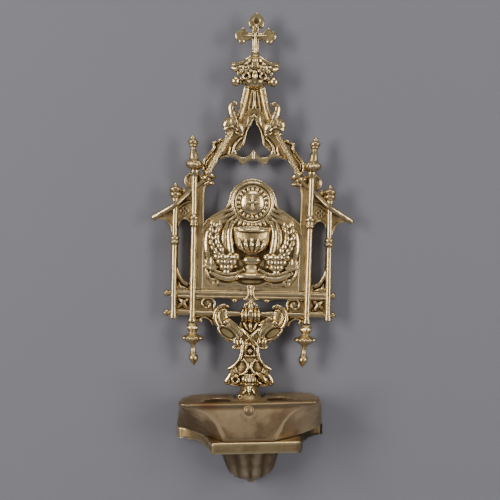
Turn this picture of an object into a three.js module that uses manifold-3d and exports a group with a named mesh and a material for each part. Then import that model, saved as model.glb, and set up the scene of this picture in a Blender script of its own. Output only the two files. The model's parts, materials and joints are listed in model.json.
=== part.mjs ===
// Holy water stoup: a gabled openwork brass back with a cast basin hung from its scroll bracket.
// Millimetres, +Z up. The back lies against the wall plane y = 0 and the front faces -Y, so a
// stand-off is a distance in front of the wall. The origin is on the back of the relief plaque.
import * as THREE from "three";
import { mergeVertices } from "three/addons/utils/BufferGeometryUtils.js";
import Module from "manifold-3d";

const wasm = await Module();
wasm.setup();

// Seats
const JOINT_GAP = 0.3;
const CUTTER_REACH = 60; // how far a cutting block runs on past what it trims
const STUD_RADIUS = 0.9;
const STUD_LENGTH = 4;

// Rails: two rods that cross behind the columns
const UPPER_RAIL_Z = -21;
const RAIL_SPACING = 11.2;
const UPPER_RAIL_RADIUS = 1.8;
const LOWER_RAIL_RADIUS = 1.5;
const RAIL_STANDOFF = 3.4;
const RAIL_OVERHANG = 4.1;
const RAIL_KNOB_RADIUS = 2.2;
const RAIL_KNOB_LENGTH = 2.6;

// Columns
const INNER_COLUMN_X = 33;
const COLUMN_SPACING = 10.7;
const INNER_COLUMN_RADIUS = 2.2;
const OUTER_COLUMN_RADIUS = 2;
const COLUMN_STANDOFF = 6.5;
const INNER_COLUMN_RISE = 70;
const INNER_COLUMN_FOOT = 4.8;
const OUTER_COLUMN_FOOT = 3.1;
const COLLAR_HEIGHT = 3;
const COLLAR_PROJECTION = 0.6;
const INNER_COLLAR_RISE = 41.1;
const OUTER_COLLAR_RISE = 30;
const JAMB_WIDTH = 5.7;
const JAMB_THICKNESS = 2;

// Turned finials and drops, as [radius, height] pairs from their seat
const INNER_FINIAL = [
  [0, 0], [2.6, 0], [4.4, 1.1], [4.4, 3.6], [2.7, 4.6], [2.1, 6], [1.2, 12.6], [2.5, 14.4],
  [2.5, 15.8], [1.3, 17], [0.5, 18.6], [0, 19.3],
];
const OUTER_FINIAL = [
  [0, 0], [1.9, 0], [1.9, 2.6], [3.3, 4.2], [2.5, 5.4], [3.2, 6.6], [3, 7.6], [1, 8.6], [0.5, 10], [0, 10.6],
];
const DROP = [
  [0, -24.1], [0.7, -23.6], [1.9, -21], [2.2, -19.4], [1.1, -17.6], [1.4, -12.6], [4, -10.6], [6.1, -9.2],
  [6.1, -7.6], [3, -6.6], [2.2, -4.6], [3.1, -3.2], [3.1, -1.4], [2.2, 0], [0, 0],
];

// Eave rods
const EAVE_RADIUS = 1.6;
const EAVE_STANDOFF = 2.2;
const EAVE_REACH = 56.2;
const EAVE_DROP = 23.3;
const EAVE_HEAD_OFFSET = 1.1;
const EAVE_HEAD_DROP = 2.9;

// Gable
const RAFTER_RADIUS = 1.7;
const RAFTER_STANDOFF = 5;
const RAFTER_TOP_X = 4.3;
const RAFTER_FOOT_INSET = 8;
const RAFTER_FOOT_DROP = 1.6;
const GABLE_RISE = 49.4;
const UPPER_BEND_X = 7.8;
const UPPER_BEND_DROP = 15.9;
const LOWER_BEND_X = 12.7;
const LOWER_BEND_DROP = 25.6;
const TRACERY_BACK = 1;
const TRACERY_THICKNESS = 2.2;
const OPENING_TOP_DROP = 17.6;
const OPENING_HEIGHT = 22;
const OPENING_HALF_WIDTH = 10.4;
const SILL_BAR_HEIGHT = 1.8;
const SILL_CUSP_X = 5.9;
const SILL_CUSP_DROP = 2.8;

// Leaves on the gable
const CROCKET_X = 14;
const CROCKET_DROP = 21;
const CROCKET_SIZE = 5;
const CROCKET_CURL_RADIUS = 1.7;
const LEAF_BULGE = 5.6;
const LEAF_THICKNESS = 2.4;
const SHOE_RADIUS = 3.1;
const SHOE_LENGTH = 6;

// Knop and cross
const KNOP_STANDOFF = 6.7;
const KNOP_OVERLAP = 1.2;
const KNOP = [
  [0, 0], [2.6, 0], [5.3, 1.6], [6.2, 4.4], [5.9, 8], [6.1, 10.6], [5.2, 13], [3.4, 16], [2.6, 19.8],
  [0, 19.8],
];
const KNOP_BALL_RADIUS = 2.9;
const KNOP_BALL_X = 10;
const KNOP_BALL_RISE = 3.9;
const KNOP_TIP_X = 13.6;
const KNOP_TIP_RISE = 13.6;
const KNOP_TIP_RADIUS = 3;
const CROSS_BAR = 3.2;
const CROSS_THICKNESS = 3.2;
const CROSS_HEIGHT = 22.9;
const CROSS_ARM = 11.9;
const CROSS_ARM_RISE = 9.6;
const LOBE_WIDTH = 8.6;
const LOBE_LENGTH = 8.6;

// Panels between the columns
const PANEL_BACK = 0.6;
const PANEL_THICKNESS = 2;
const SIDE_PANEL_Z = 17.8;
const QUATREFOIL_Z = 25.2;
const QUATREFOIL_RADIUS = 1.4;
const BRACKET_LENGTH = 8.4;
const BRACKET_DEPTH = 7.5;
const BRACE_RISE = 17.8;
const BRACE_FOOT_RISE = 5.9;
const ROSETTE_RADIUS = 3.3;
const ROSETTE_DEPTH = 2.4;

// Relief plaque: chalice and host between wheat and grapes
const PLAQUE_THICKNESS = 1.8;
const SHOULDER_RISE = 43;
const GLORY_RISE = 49.5;
const GLORY_RADIUS = 13.5;
const HOST_RADIUS = 6.6;
const RAY_COUNT = 16;
const RELIEF_DEPTH = 3;
const CHALICE_FOOT_RISE = 6;
const CHALICE = [
  [0, 0], [8, 0], [7.4, 1.6], [2.6, 4], [1.7, 7.4], [3.1, 9], [3.1, 10.6], [1.7, 12], [2.4, 13.6], [6.2, 16.4],
  [7.4, 22], [7.8, 29], [0, 29],
];
const GRAPE_RADIUS = 1.9;
const GRAPE_ROWS = 4;
const GRAPE_X = 15.4;
const GRAPE_RISE = 28;
const EAR_X = 21.5;
const EAR_RISE = 14;
const EAR_GRAINS = 5;
const GRAIN_LENGTH = 5;
const GRAIN_PITCH = 4;

// Clasp, volutes and knuckle of the rails
const CLASP_WIDTH = 6;
const CLASP_HEIGHT = 7.1;
const CLASP_THICKNESS = 1.8;
const CLASP_DROP = 2.9;
const VOLUTE_X = 24.1;
const VOLUTE_RADIUS = 3.3;
const VOLUTE_STANDOFF = 1.6;
const VOLUTE_THICKNESS = 3;
const KNUCKLE = [
  [0, -5.7], [2.6, -5.7], [3.1, -4.6], [2.8, -3.6], [3.1, -2.6], [2.9, -1.2], [3.1, 0], [2.9, 1.2], [3.1, 2.6],
  [2.8, 3.6], [3.1, 4.6], [2.6, 5.7], [0, 5.7],
];

// Straps and stem of the bracket
const EYE_X = 19.6;
const EYE_RADIUS = 3.1;
const EYE_TALLNESS = 1.8;
const EYE_WIDTH = 4.6;
const STRAP_WIDTH = 4.8;
const STRAP_THICKNESS = 2.2;
const STRAP_FRONT_STANDOFF = 5;
const STRAP_BACK_STANDOFF = 2;
const STRAP_CROSS_DROP = 12.2;
const STRAP_END_X = 7.2;
const STRAP_END_DROP = 18;
const STEM_TOP_DROP = 15.6;
const STEM_STANDOFF = 6.6;
const STEM_FLATNESS = 0.5;
// Half width, height under the stem's top and depth of the scallops between the leaves
const STEM = [
  [0, -27, 0], [5.2, -27, 0], [5.4, -24.4, 0], [11.2, -23.2, 0.16], [12.6, -21.4, 0.2],
  [10.4, -18, 0.1], [12.4, -14.6, 0.22], [8.3, -12.6, 0.12],
  [5, -8.8, 0], [4.9, -6, 0], [5.8, -3.8, 0], [4.4, -1.6, 0], [2.4, 0, 0], [0, 0, 0],
];
const STEM_LEAVES = 4;
const FOOT = [
  [0, -33.2], [5.6, -33.2], [7, -32], [7.3, -30.4], [6.6, -28.4], [5.2, -25.8], [4.6, -24.4], [0, -24.4],
];
const FOOT_STANDOFF = 9.4;
const FOOT_DEPTH_RATIO = 1.2;
const TONGUE_WIDTH = 8;
const TONGUE_THICKNESS = 3.6;
const TONGUE_LENGTH = 13;

// Basin
const BASIN_TILT_DEG = 2.3;
const RIM_HALF_WIDTH = 38.4;
const RIM_DEPTH = 32;
const RIM_CORNER = 2.5;
const DECK_BACK_HALF_WIDTH = 27;
const DECK_SHOULDER_DEPTH = 24;
const LIP_HEIGHT = 1.1;
const LIP_WIDTH = 2.6;
const BOWL_HEIGHT = 22;
const BASE_HALF_WIDTH = 41.8;
const BASE_FRONT_HALF_WIDTH = 22.5;
const BASE_SHIFT = 2.6;
const CREASE_FOOT_X = 13.7;
const SIDE_BULGE = 2.2;
const SIDE_EASE = 1.8;
const CREASE_EASE = 2;
const WALL_EASE = 3.5;
const BASE_DEPTH = 30;
const BAND_HEIGHT = 4.7;
const BAND_PROJECTION = 1.4;
const WELL_RADIUS = 8;
const WELL_DEPTH = 15;
const WELL_X = 17;
const WELL_STANDOFF = 20.2;
const FOOT_SINK = 3.2;
const FOOT_CLEARANCE = 1;
const NOTCH_HALF_WIDTH = 9.3;
const TONGUE_CLEARANCE = 0.9;
const RIVET_DROP = 3.5;
const RIVET_RADIUS = 1.6;
const RIVET_HEAD = [[0, 0], [2.8, 0], [2.8, 0.6], [2.2, 1.5], [1, 1.9], [0, 1.9]];
const RIVET_TAIL = 1.2;
const BOSS_DEPTH_RATIO = 1.3;
// Half width, height under the band and depth of the flutes
const BOSS = [
  [0, -22.7, 0], [1.5, -22.3, 0], [2.2, -21.2, 0], [5, -20.5, 0.06], [8.7, -19.2, 0.12], [11.4, -17, 0.14],
  [13.4, -13, 0.13], [14.6, -9, 0.12], [15.4, -6, 0.1], [16.4, -2.6, 0.06], [17, 0, 0], [0, 0, 0],
];
const BOSS_FLUTES = 12;

// Heights and places that follow from the sizes above
const LOWER_RAIL_Z = UPPER_RAIL_Z - RAIL_SPACING;
const OUTER_COLUMN_X = INNER_COLUMN_X + COLUMN_SPACING;
const COLUMN_TOP_Z = UPPER_RAIL_Z + INNER_COLUMN_RISE;
const RAFTER_FOOT_X = INNER_COLUMN_X - RAFTER_FOOT_INSET;
const RAFTER_FOOT_Z = COLUMN_TOP_Z - RAFTER_FOOT_DROP;
const GABLE_TOP_Z = RAFTER_FOOT_Z + GABLE_RISE;
const EAVE_HEAD_X = RAFTER_FOOT_X + EAVE_HEAD_OFFSET;
const EAVE_HEAD_Z = RAFTER_FOOT_Z - EAVE_HEAD_DROP;
const KNOP_Z = GABLE_TOP_Z - KNOP_OVERLAP;
const CROSS_Z = KNOP_Z + KNOP.at(-1)[1] + JOINT_GAP;
const PLAQUE_Z = UPPER_RAIL_Z + UPPER_RAIL_RADIUS + JOINT_GAP;
const JAMB_FRONT = PANEL_BACK + JAMB_THICKNESS;
const TRACERY_FRONT = TRACERY_BACK + TRACERY_THICKNESS;
const PLAQUE_HALF_WIDTH = INNER_COLUMN_X - JAMB_WIDTH - JOINT_GAP;
const STEM_TOP_Z = LOWER_RAIL_Z - STEM_TOP_DROP;
const STEM_FOOT_Z = STEM_TOP_Z + FOOT[0][1];
const DECK_Z = STEM_FOOT_Z + FOOT_SINK;
const LIP_Z = DECK_Z + LIP_HEIGHT;
const RIVET_Z = DECK_Z - RIVET_DROP;
const BOWL_FLOOR_Z = LIP_Z - BOWL_HEIGHT;
const BAND_TOP_Z = BOWL_FLOOR_Z - JOINT_GAP;
const BOSS_TOP_Z = BAND_TOP_Z - BAND_HEIGHT - JOINT_GAP;
const TONGUE_BOTTOM_Z = RIVET_Z - TONGUE_LENGTH;
const RIVET_BACK = STEM_STANDOFF - TONGUE_THICKNESS / 2 - RIVET_TAIL;

const at = (x, standoff, z) => new THREE.Vector3(x, -standoff, z);
const eaveZ = (x) => EAVE_HEAD_Z - (EAVE_DROP * (x - EAVE_HEAD_X)) / (EAVE_REACH - EAVE_HEAD_X);

// Solids: closed meshes joined and cut
function solidOf(geometry) {
  const bare = geometry.clone();
  bare.deleteAttribute("normal");
  bare.deleteAttribute("uv");
  const merged = mergeVertices(bare, 1e-4);
  const vertProperties = new Float32Array(merged.attributes.position.array);
  const triVerts = new Uint32Array(merged.index.array);
  return new wasm.Manifold(new wasm.Mesh({ numProp: 3, vertProperties, triVerts }));
}

function geometryOf(solid) {
  const { vertProperties, triVerts } = solid.getMesh();
  const geometry = new THREE.BufferGeometry();
  geometry.setAttribute("position", new THREE.BufferAttribute(new Float32Array(vertProperties), 3));
  geometry.setIndex(new THREE.BufferAttribute(new Uint32Array(triVerts), 1));
  geometry.computeVertexNormals();
  return geometry;
}

const joined = (...solids) => solids.reduce((whole, next) => whole.add(next));
const cutBy = (solid, ...tools) => tools.reduce((rest, tool) => rest.subtract(tool), solid);
const mirrored = (solid) => solid.mirror([1, 0, 0]);

// What is left of a solid after its neighbours are cut out of it, without loose chips
function fittedTo(solid, ...neighbours) {
  const chips = cutBy(solid, ...neighbours).decompose();
  return chips.reduce((largest, chip) => (chip.volume() > largest.volume() ? chip : largest));
}

// A [radius, height, scallop] profile turned about a vertical axis, with lobes where it is scalloped
function turned(profile, sides, grow = 0, lobes = 0) {
  const low = profile[0][1];
  const high = profile.at(-1)[1];
  const points = profile.map(([radius, height]) => {
    const end = height === low ? -grow : height === high ? grow : 0;
    return new THREE.Vector2(radius > 0 ? radius + grow : 0, height + end);
  });
  const geometry = new THREE.LatheGeometry(points, sides);
  const place = geometry.attributes.position;
  for (let i = 0; i < place.count; i += 1) {
    const scallop = profile[i % profile.length][2] ?? 0;
    const turn = Math.atan2(place.getX(i), place.getZ(i));
    const share = 1 - scallop * (0.5 - 0.5 * Math.cos(lobes * turn));
    place.setXYZ(i, place.getX(i) * share, place.getY(i), place.getZ(i) * share);
  }
  geometry.rotateX(Math.PI / 2);
  return solidOf(geometry);
}

const standing = (profile, x, standoff, z, sides, grow = 0) =>
  turned(profile, sides, grow).translate([x, -standoff, z]);

const lying = (profile, standoff, z, sides, grow = 0) =>
  turned(profile, sides, grow).rotate([0, 90, 0]).translate([0, -standoff, z]);

const ball = (radius, x, standoff, z, sides = 8) =>
  solidOf(new THREE.SphereGeometry(radius, sides, sides - 2)).translate([x, -standoff, z]);

const pin = (radius, bottom, top) => [[0, bottom], [radius, bottom], [radius, top], [0, top]];

const block = (x0, x1, back, front, z0, z1) =>
  solidOf(new THREE.BoxGeometry(x1 - x0, front - back, z1 - z0)).translate([
    (x0 + x1) / 2, -(back + front) / 2, (z0 + z1) / 2,
  ]);

// A flat shape drawn in x and z, from its back stand-off towards the front
function plate(shape, back, thickness, curveSegments = 6) {
  const geometry = new THREE.ExtrudeGeometry(shape, { depth: thickness, bevelEnabled: false, curveSegments });
  geometry.rotateX(Math.PI / 2);
  return solidOf(geometry).translate([0, -back, 0]);
}

function shapeOf(points) {
  return new THREE.Shape(points.map(([x, z]) => new THREE.Vector2(x, z)));
}

// A round rod along a smooth path; a grown one is thicker and longer
function rod(points, radius, steps, grow = 0) {
  const path = new THREE.CatmullRomCurve3(points);
  const start = points[0].clone().addScaledVector(path.getTangent(0), -grow);
  const end = points.at(-1).clone().addScaledVector(path.getTangent(1), grow);
  const route = new THREE.CatmullRomCurve3(grow > 0 ? [start, ...points.slice(1, -1), end] : points);
  const section = new THREE.Shape().absarc(0, 0, radius + grow, 0, 2 * Math.PI);
  return solidOf(new THREE.ExtrudeGeometry(section, { steps, curveSegments: 4, extrudePath: route }));
}

// A flat strap along a smooth path in the plane of the wall
function strap(points, width, thickness, steps) {
  const path = new THREE.CatmullRomCurve3(points);
  const half = [thickness / 2, width / 2];
  const section = shapeOf([
    [-half[0], -half[1]], [half[0], -half[1]], [half[0], half[1]], [-half[0], half[1]],
  ]);
  return solidOf(new THREE.ExtrudeGeometry(section, { steps, extrudePath: path }));
}

// Rods of the frame, each with a grown copy that cuts the seats in its neighbours
function rail(z, radius, grow = 0) {
  const half = OUTER_COLUMN_X + RAIL_OVERHANG;
  const knob = half - RAIL_KNOB_LENGTH;
  const neck = knob - RAIL_KNOB_RADIUS / 2;
  const profile = [
    [0, -half], [RAIL_KNOB_RADIUS * 0.7, -half], [RAIL_KNOB_RADIUS, -half + RAIL_KNOB_LENGTH / 3],
    [RAIL_KNOB_RADIUS, -knob], [radius, -neck], [radius, neck], [RAIL_KNOB_RADIUS, knob],
    [RAIL_KNOB_RADIUS, half - RAIL_KNOB_LENGTH / 3], [RAIL_KNOB_RADIUS * 0.7, half], [0, half],
  ];
  return lying(profile, RAIL_STANDOFF, z, 10, grow);
}

const upperRail = (grow = 0) => rail(UPPER_RAIL_Z, UPPER_RAIL_RADIUS, grow);
const lowerRail = (grow = 0) => rail(LOWER_RAIL_Z, LOWER_RAIL_RADIUS, grow);

function shaft(radius, foot, collar, top) {
  const wide = radius + COLLAR_PROJECTION;
  const half = COLLAR_HEIGHT / 2;
  return [
    [0, foot], [radius, foot], [radius, collar - half - COLLAR_PROJECTION], [wide, collar - half],
    [wide, collar + half], [radius, collar + half + COLLAR_PROJECTION], [radius, top], [0, top],
  ];
}

function innerShaft(grow = 0) {
  const foot = LOWER_RAIL_Z - INNER_COLUMN_FOOT;
  const profile = shaft(INNER_COLUMN_RADIUS, foot, UPPER_RAIL_Z + INNER_COLLAR_RISE, COLUMN_TOP_Z);
  return standing(profile, INNER_COLUMN_X, COLUMN_STANDOFF, 0, 12, grow);
}

function outerShaft(grow = 0) {
  const foot = LOWER_RAIL_Z - OUTER_COLUMN_FOOT;
  const top = eaveZ(OUTER_COLUMN_X) - JOINT_GAP / 2;
  const profile = shaft(OUTER_COLUMN_RADIUS, foot, UPPER_RAIL_Z + OUTER_COLLAR_RISE, top);
  return standing(profile, OUTER_COLUMN_X, COLUMN_STANDOFF, 0, 12, grow);
}

function eaveRod(grow = 0) {
  const head = at(EAVE_HEAD_X, EAVE_STANDOFF, EAVE_HEAD_Z);
  const tip = at(EAVE_REACH, EAVE_STANDOFF, EAVE_HEAD_Z - EAVE_DROP);
  return rod([head, tip], EAVE_RADIUS, 1, grow);
}

const rafterPath = [
  at(RAFTER_TOP_X, RAFTER_STANDOFF, GABLE_TOP_Z),
  at(UPPER_BEND_X, RAFTER_STANDOFF, GABLE_TOP_Z - UPPER_BEND_DROP),
  at(LOWER_BEND_X, RAFTER_STANDOFF, GABLE_TOP_Z - LOWER_BEND_DROP),
  at(RAFTER_FOOT_X, RAFTER_STANDOFF, RAFTER_FOOT_Z),
];
const rafter = (grow = 0) => rod(rafterPath, RAFTER_RADIUS, 10, grow);

// Columns: a turned shaft, halved over the rods that cross behind it; the inner one has a jamb strip
function innerColumn() {
  const jamb = block(
    INNER_COLUMN_X - JAMB_WIDTH, INNER_COLUMN_X, PANEL_BACK, JAMB_FRONT, PLAQUE_Z,
    COLUMN_TOP_Z - RAFTER_RADIUS);
  const spine = block(
    INNER_COLUMN_X - INNER_COLUMN_RADIUS / 2, INNER_COLUMN_X, PANEL_BACK, COLUMN_STANDOFF,
    PLAQUE_Z, COLUMN_TOP_Z - RAFTER_RADIUS);
  const sockets = [
    pin(STUD_RADIUS + JOINT_GAP, COLUMN_TOP_Z - STUD_LENGTH - JOINT_GAP, COLUMN_TOP_Z + 1),
    pin(STUD_RADIUS + JOINT_GAP, LOWER_RAIL_Z - INNER_COLUMN_FOOT - 1, LOWER_RAIL_Z - LOWER_RAIL_RADIUS),
  ].map((bore) => standing(bore, INNER_COLUMN_X, COLUMN_STANDOFF, 0, 8));
  return fittedTo(
    joined(innerShaft(), jamb, spine), ...sockets,
    eaveRod(JOINT_GAP), upperRail(JOINT_GAP), lowerRail(JOINT_GAP));
}

const outerColumn = () =>
  fittedTo(outerShaft(), eaveRod(JOINT_GAP), upperRail(JOINT_GAP), lowerRail(JOINT_GAP));

function innerFinial() {
  const seat = COLUMN_TOP_Z + JOINT_GAP;
  const stud = standing(pin(STUD_RADIUS, -STUD_LENGTH, 1), INNER_COLUMN_X, COLUMN_STANDOFF, seat, 8);
  return joined(standing(INNER_FINIAL, INNER_COLUMN_X, COLUMN_STANDOFF, seat, 12), stud);
}

function outerFinial() {
  const seat = eaveZ(OUTER_COLUMN_X) + JOINT_GAP / 2;
  return fittedTo(standing(OUTER_FINIAL, OUTER_COLUMN_X, COLUMN_STANDOFF, seat, 12), eaveRod(JOINT_GAP));
}

function drop() {
  const seat = LOWER_RAIL_Z - INNER_COLUMN_FOOT - JOINT_GAP;
  const studTop = INNER_COLUMN_FOOT - LOWER_RAIL_RADIUS - JOINT_GAP;
  const stud = standing(pin(STUD_RADIUS, -1, studTop), INNER_COLUMN_X, COLUMN_STANDOFF, seat, 8);
  return joined(standing(DROP, INNER_COLUMN_X, COLUMN_STANDOFF, seat, 14), stud);
}

// Gable: tracery plate behind the rafters, leaves in front of and beside them
function tracery() {
  const curve = new THREE.CatmullRomCurve3(rafterPath);
  const barZ = GABLE_TOP_Z - OPENING_TOP_DROP - OPENING_HEIGHT - SILL_BAR_HEIGHT;
  const side = curve.getPoints(20).map((point) => [point.x, point.z]).filter(([, z]) => z > barZ);
  const corner = side.at(-1)[0];
  const outline = shapeOf([...side, [corner, barZ]]);
  outline.quadraticCurveTo(SILL_CUSP_X * 2, barZ + 2, SILL_CUSP_X, barZ - SILL_CUSP_DROP);
  outline.quadraticCurveTo(SILL_CUSP_X / 2, barZ + 2, 0, barZ);
  outline.quadraticCurveTo(-SILL_CUSP_X / 2, barZ + 2, -SILL_CUSP_X, barZ - SILL_CUSP_DROP);
  outline.quadraticCurveTo(-SILL_CUSP_X * 2, barZ + 2, -corner, barZ);
  side.toReversed().forEach(([x, z]) => outline.lineTo(-x, z));
  return fittedTo(
    plate(outline, TRACERY_BACK, TRACERY_THICKNESS), plate(pointedOpening(), 0, TRACERY_FRONT + 1),
    rafter(JOINT_GAP), mirrored(rafter(JOINT_GAP)));
}

// Pointed head widening to two lobes over an upright cusp
function pointedOpening() {
  const top = GABLE_TOP_Z - OPENING_TOP_DROP;
  const foot = top - OPENING_HEIGHT;
  const wide = OPENING_HALF_WIDTH;
  const waist = wide * 0.48;
  const shape = new THREE.Shape().moveTo(0, top);
  shape.quadraticCurveTo(waist, top - OPENING_HEIGHT * 0.3, waist, top - OPENING_HEIGHT * 0.56);
  shape.bezierCurveTo(wide, foot + OPENING_HEIGHT * 0.4, wide * 1.25, foot + 1, wide * 0.7, foot);
  shape.quadraticCurveTo(wide * 0.25, foot, 0, foot + OPENING_HEIGHT * 0.18);
  shape.quadraticCurveTo(-wide * 0.25, foot, -wide * 0.7, foot);
  shape.bezierCurveTo(
    -wide * 1.25, foot + 1, -wide, foot + OPENING_HEIGHT * 0.4, -waist, top - OPENING_HEIGHT * 0.56);
  shape.quadraticCurveTo(-waist, top - OPENING_HEIGHT * 0.3, 0, top);
  return shape;
}

// Leaf knot that rides over the bend of a rafter and curls up beside it
function largeCrocket() {
  const z = GABLE_TOP_Z - CROCKET_DROP;
  const standoff = RAFTER_STANDOFF + RAFTER_RADIUS;
  const knot = ball(CROCKET_SIZE, 0, 0, 0, 10).scale([0.8, 0.6, 1]).translate([CROCKET_X, -standoff, z]);
  const curl = rod(
    [
      at(CROCKET_X + 1.4, standoff, z), at(CROCKET_X + 2.2, standoff, z + CROCKET_SIZE * 1.3),
      at(CROCKET_X - 0.8, standoff, z + CROCKET_SIZE * 2.2),
      at(CROCKET_X - 3.2, standoff, z + CROCKET_SIZE * 1.9),
    ],
    CROCKET_CURL_RADIUS, 6);
  const bud = ball(CROCKET_CURL_RADIUS * 1.25, CROCKET_X - 3.2, standoff, z + CROCKET_SIZE * 1.9);
  const behind = block(0, OUTER_COLUMN_X, 0, TRACERY_FRONT + JOINT_GAP, z - 40, z + 40);
  return fittedTo(joined(knot, curl, bud), rafter(JOINT_GAP), behind);
}

// Leaf blade along the outer side of the lower rafter, with a thorn near its top
function rafterLeaf() {
  const head = [LOWER_BEND_X, GABLE_TOP_Z - LOWER_BEND_DROP - CROCKET_SIZE];
  const foot = [RAFTER_FOOT_X, RAFTER_FOOT_Z];
  const run = (share, out) => [
    head[0] + share * (foot[0] - head[0]) + out * 0.89, head[1] + share * (foot[1] - head[1]) + out * 0.46,
  ];
  const outline = new THREE.Shape().moveTo(...run(0, 0));
  outline.quadraticCurveTo(...run(0.1, LEAF_BULGE * 0.5), ...run(0.12, LEAF_BULGE));
  outline.quadraticCurveTo(...run(0.24, LEAF_BULGE * 0.6), ...run(0.42, LEAF_BULGE * 0.6));
  outline.quadraticCurveTo(...run(0.72, LEAF_BULGE * 1.5), ...run(1, 0));
  const standoff = RAFTER_STANDOFF - LEAF_THICKNESS / 2;
  const finial = standing(
    INNER_FINIAL, INNER_COLUMN_X, COLUMN_STANDOFF, COLUMN_TOP_Z + JOINT_GAP, 12, JOINT_GAP);
  return fittedTo(plate(outline, standoff, LEAF_THICKNESS), rafter(JOINT_GAP), finial, shoe(JOINT_GAP));
}

// Spool at the foot of a rafter, and the hook under it
function shoe(grow = 0) {
  const half = SHOE_LENGTH / 2;
  const waist = SHOE_RADIUS * 0.8;
  const spool = turned(
    [
      [0, -half], [waist, -half], [SHOE_RADIUS, -half * 0.6], [SHOE_RADIUS, -half * 0.25], [waist, 0],
      [SHOE_RADIUS, half * 0.25], [SHOE_RADIUS, half * 0.6], [waist, half], [0, half],
    ],
    12, grow);
  return spool.rotate([0, -24, 0]).translate([RAFTER_FOOT_X + 0.6, -RAFTER_STANDOFF, RAFTER_FOOT_Z - 1.6]);
}

function rafterFoot() {
  const x = RAFTER_FOOT_X;
  const z = RAFTER_FOOT_Z;
  const standoff = RAFTER_STANDOFF;
  const hook = rod(
    [at(x, standoff, z - 3), at(x - 2.4, standoff, z - 4.6), at(x - 3.4, standoff, z - 7)], 1.1, 4);
  const jamb = block(
    INNER_COLUMN_X - JAMB_WIDTH - JOINT_GAP, INNER_COLUMN_X, 0, JAMB_FRONT + JOINT_GAP, z - 20, z + 20);
  return fittedTo(joined(shoe(), hook), rafter(JOINT_GAP), eaveRod(JOINT_GAP), jamb);
}

// Knop: turned core with side balls, leaf tips and small front rosettes; rafters and cross are let into it
function crownKnop() {
  const core = standing(KNOP, 0, KNOP_STANDOFF, KNOP_Z, 14);
  const sides = [-1, 1].flatMap((side) => {
    const tip = solidOf(new THREE.ConeGeometry(KNOP_TIP_RADIUS, KNOP_TIP_X, 7))
      .rotate([0, 0, -90 * side])
      .translate([(side * KNOP_TIP_X) / 2, -KNOP_STANDOFF, KNOP_Z + KNOP_TIP_RISE]);
    const arm = rod(
      [
        at(0, KNOP_STANDOFF, KNOP_Z + KNOP_BALL_RISE),
        at(side * KNOP_BALL_X, KNOP_STANDOFF, KNOP_Z + KNOP_BALL_RISE),
      ],
      KNOP_BALL_RADIUS * 0.5, 1);
    const knob = ball(KNOP_BALL_RADIUS, side * KNOP_BALL_X, KNOP_STANDOFF, KNOP_Z + KNOP_BALL_RISE, 10);
    const rosette = ball(
      KNOP_BALL_RADIUS * 0.8, side * KNOP_BALL_X * 0.4, KNOP_STANDOFF + KNOP[3][0] * 0.8,
      KNOP_Z + KNOP_TIP_RISE / 2);
    return [tip, arm, knob, rosette];
  });
  const bud = ball(KNOP_TIP_RADIUS * 0.8, 0, KNOP_STANDOFF + KNOP[5][0] * 0.9, KNOP_Z + KNOP_TIP_RISE - 2);
  const socket = pin(STUD_RADIUS + JOINT_GAP, CROSS_Z - STUD_LENGTH - JOINT_GAP, CROSS_Z + 1);
  const behind = block(
    -KNOP_TIP_X, KNOP_TIP_X, 0, TRACERY_FRONT + JOINT_GAP, KNOP_Z - 1, GABLE_TOP_Z + JOINT_GAP);
  return fittedTo(
    joined(core, bud, ...sides), standing(socket, 0, KNOP_STANDOFF, 0, 8), behind,
    rafter(JOINT_GAP), mirrored(rafter(JOINT_GAP)));
}

// Leaf-shaped end of a cross arm, pointing up from its base
function lobe() {
  const half = LOBE_WIDTH / 2;
  const shape = new THREE.Shape().moveTo(0, 0);
  shape.bezierCurveTo(half * 0.5, -LOBE_LENGTH * 0.08, half, LOBE_LENGTH * 0.08, half, LOBE_LENGTH * 0.38);
  shape.bezierCurveTo(half, LOBE_LENGTH * 0.65, half * 0.25, LOBE_LENGTH * 0.8, 0, LOBE_LENGTH);
  shape.bezierCurveTo(-half * 0.25, LOBE_LENGTH * 0.8, -half, LOBE_LENGTH * 0.65, -half, LOBE_LENGTH * 0.38);
  shape.bezierCurveTo(-half, LOBE_LENGTH * 0.08, -half * 0.5, -LOBE_LENGTH * 0.08, 0, 0);
  return plate(shape, KNOP_STANDOFF - CROSS_THICKNESS / 2, CROSS_THICKNESS, 5);
}

function crossFinial() {
  const back = KNOP_STANDOFF - CROSS_THICKNESS / 2;
  const front = back + CROSS_THICKNESS;
  const half = CROSS_BAR / 2;
  const armZ = CROSS_Z + CROSS_ARM_RISE;
  const armRoot = CROSS_ARM - LOBE_LENGTH;
  const upright = block(-half, half, back, front, CROSS_Z, CROSS_Z + CROSS_HEIGHT - LOBE_LENGTH / 2);
  const crossbar = block(-armRoot - half, armRoot + half, back, front, armZ - half, armZ + half);
  const lobes = [
    lobe().translate([0, 0, CROSS_Z + CROSS_HEIGHT - LOBE_LENGTH]),
    lobe().rotate([0, 90, 0]).translate([armRoot, 0, armZ]),
    lobe().rotate([0, -90, 0]).translate([-armRoot, 0, armZ]),
  ];
  const stud = standing(pin(STUD_RADIUS, -STUD_LENGTH, 1), 0, KNOP_STANDOFF, CROSS_Z, 8);
  return joined(upright, crossbar, stud, ...lobes);
}

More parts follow.
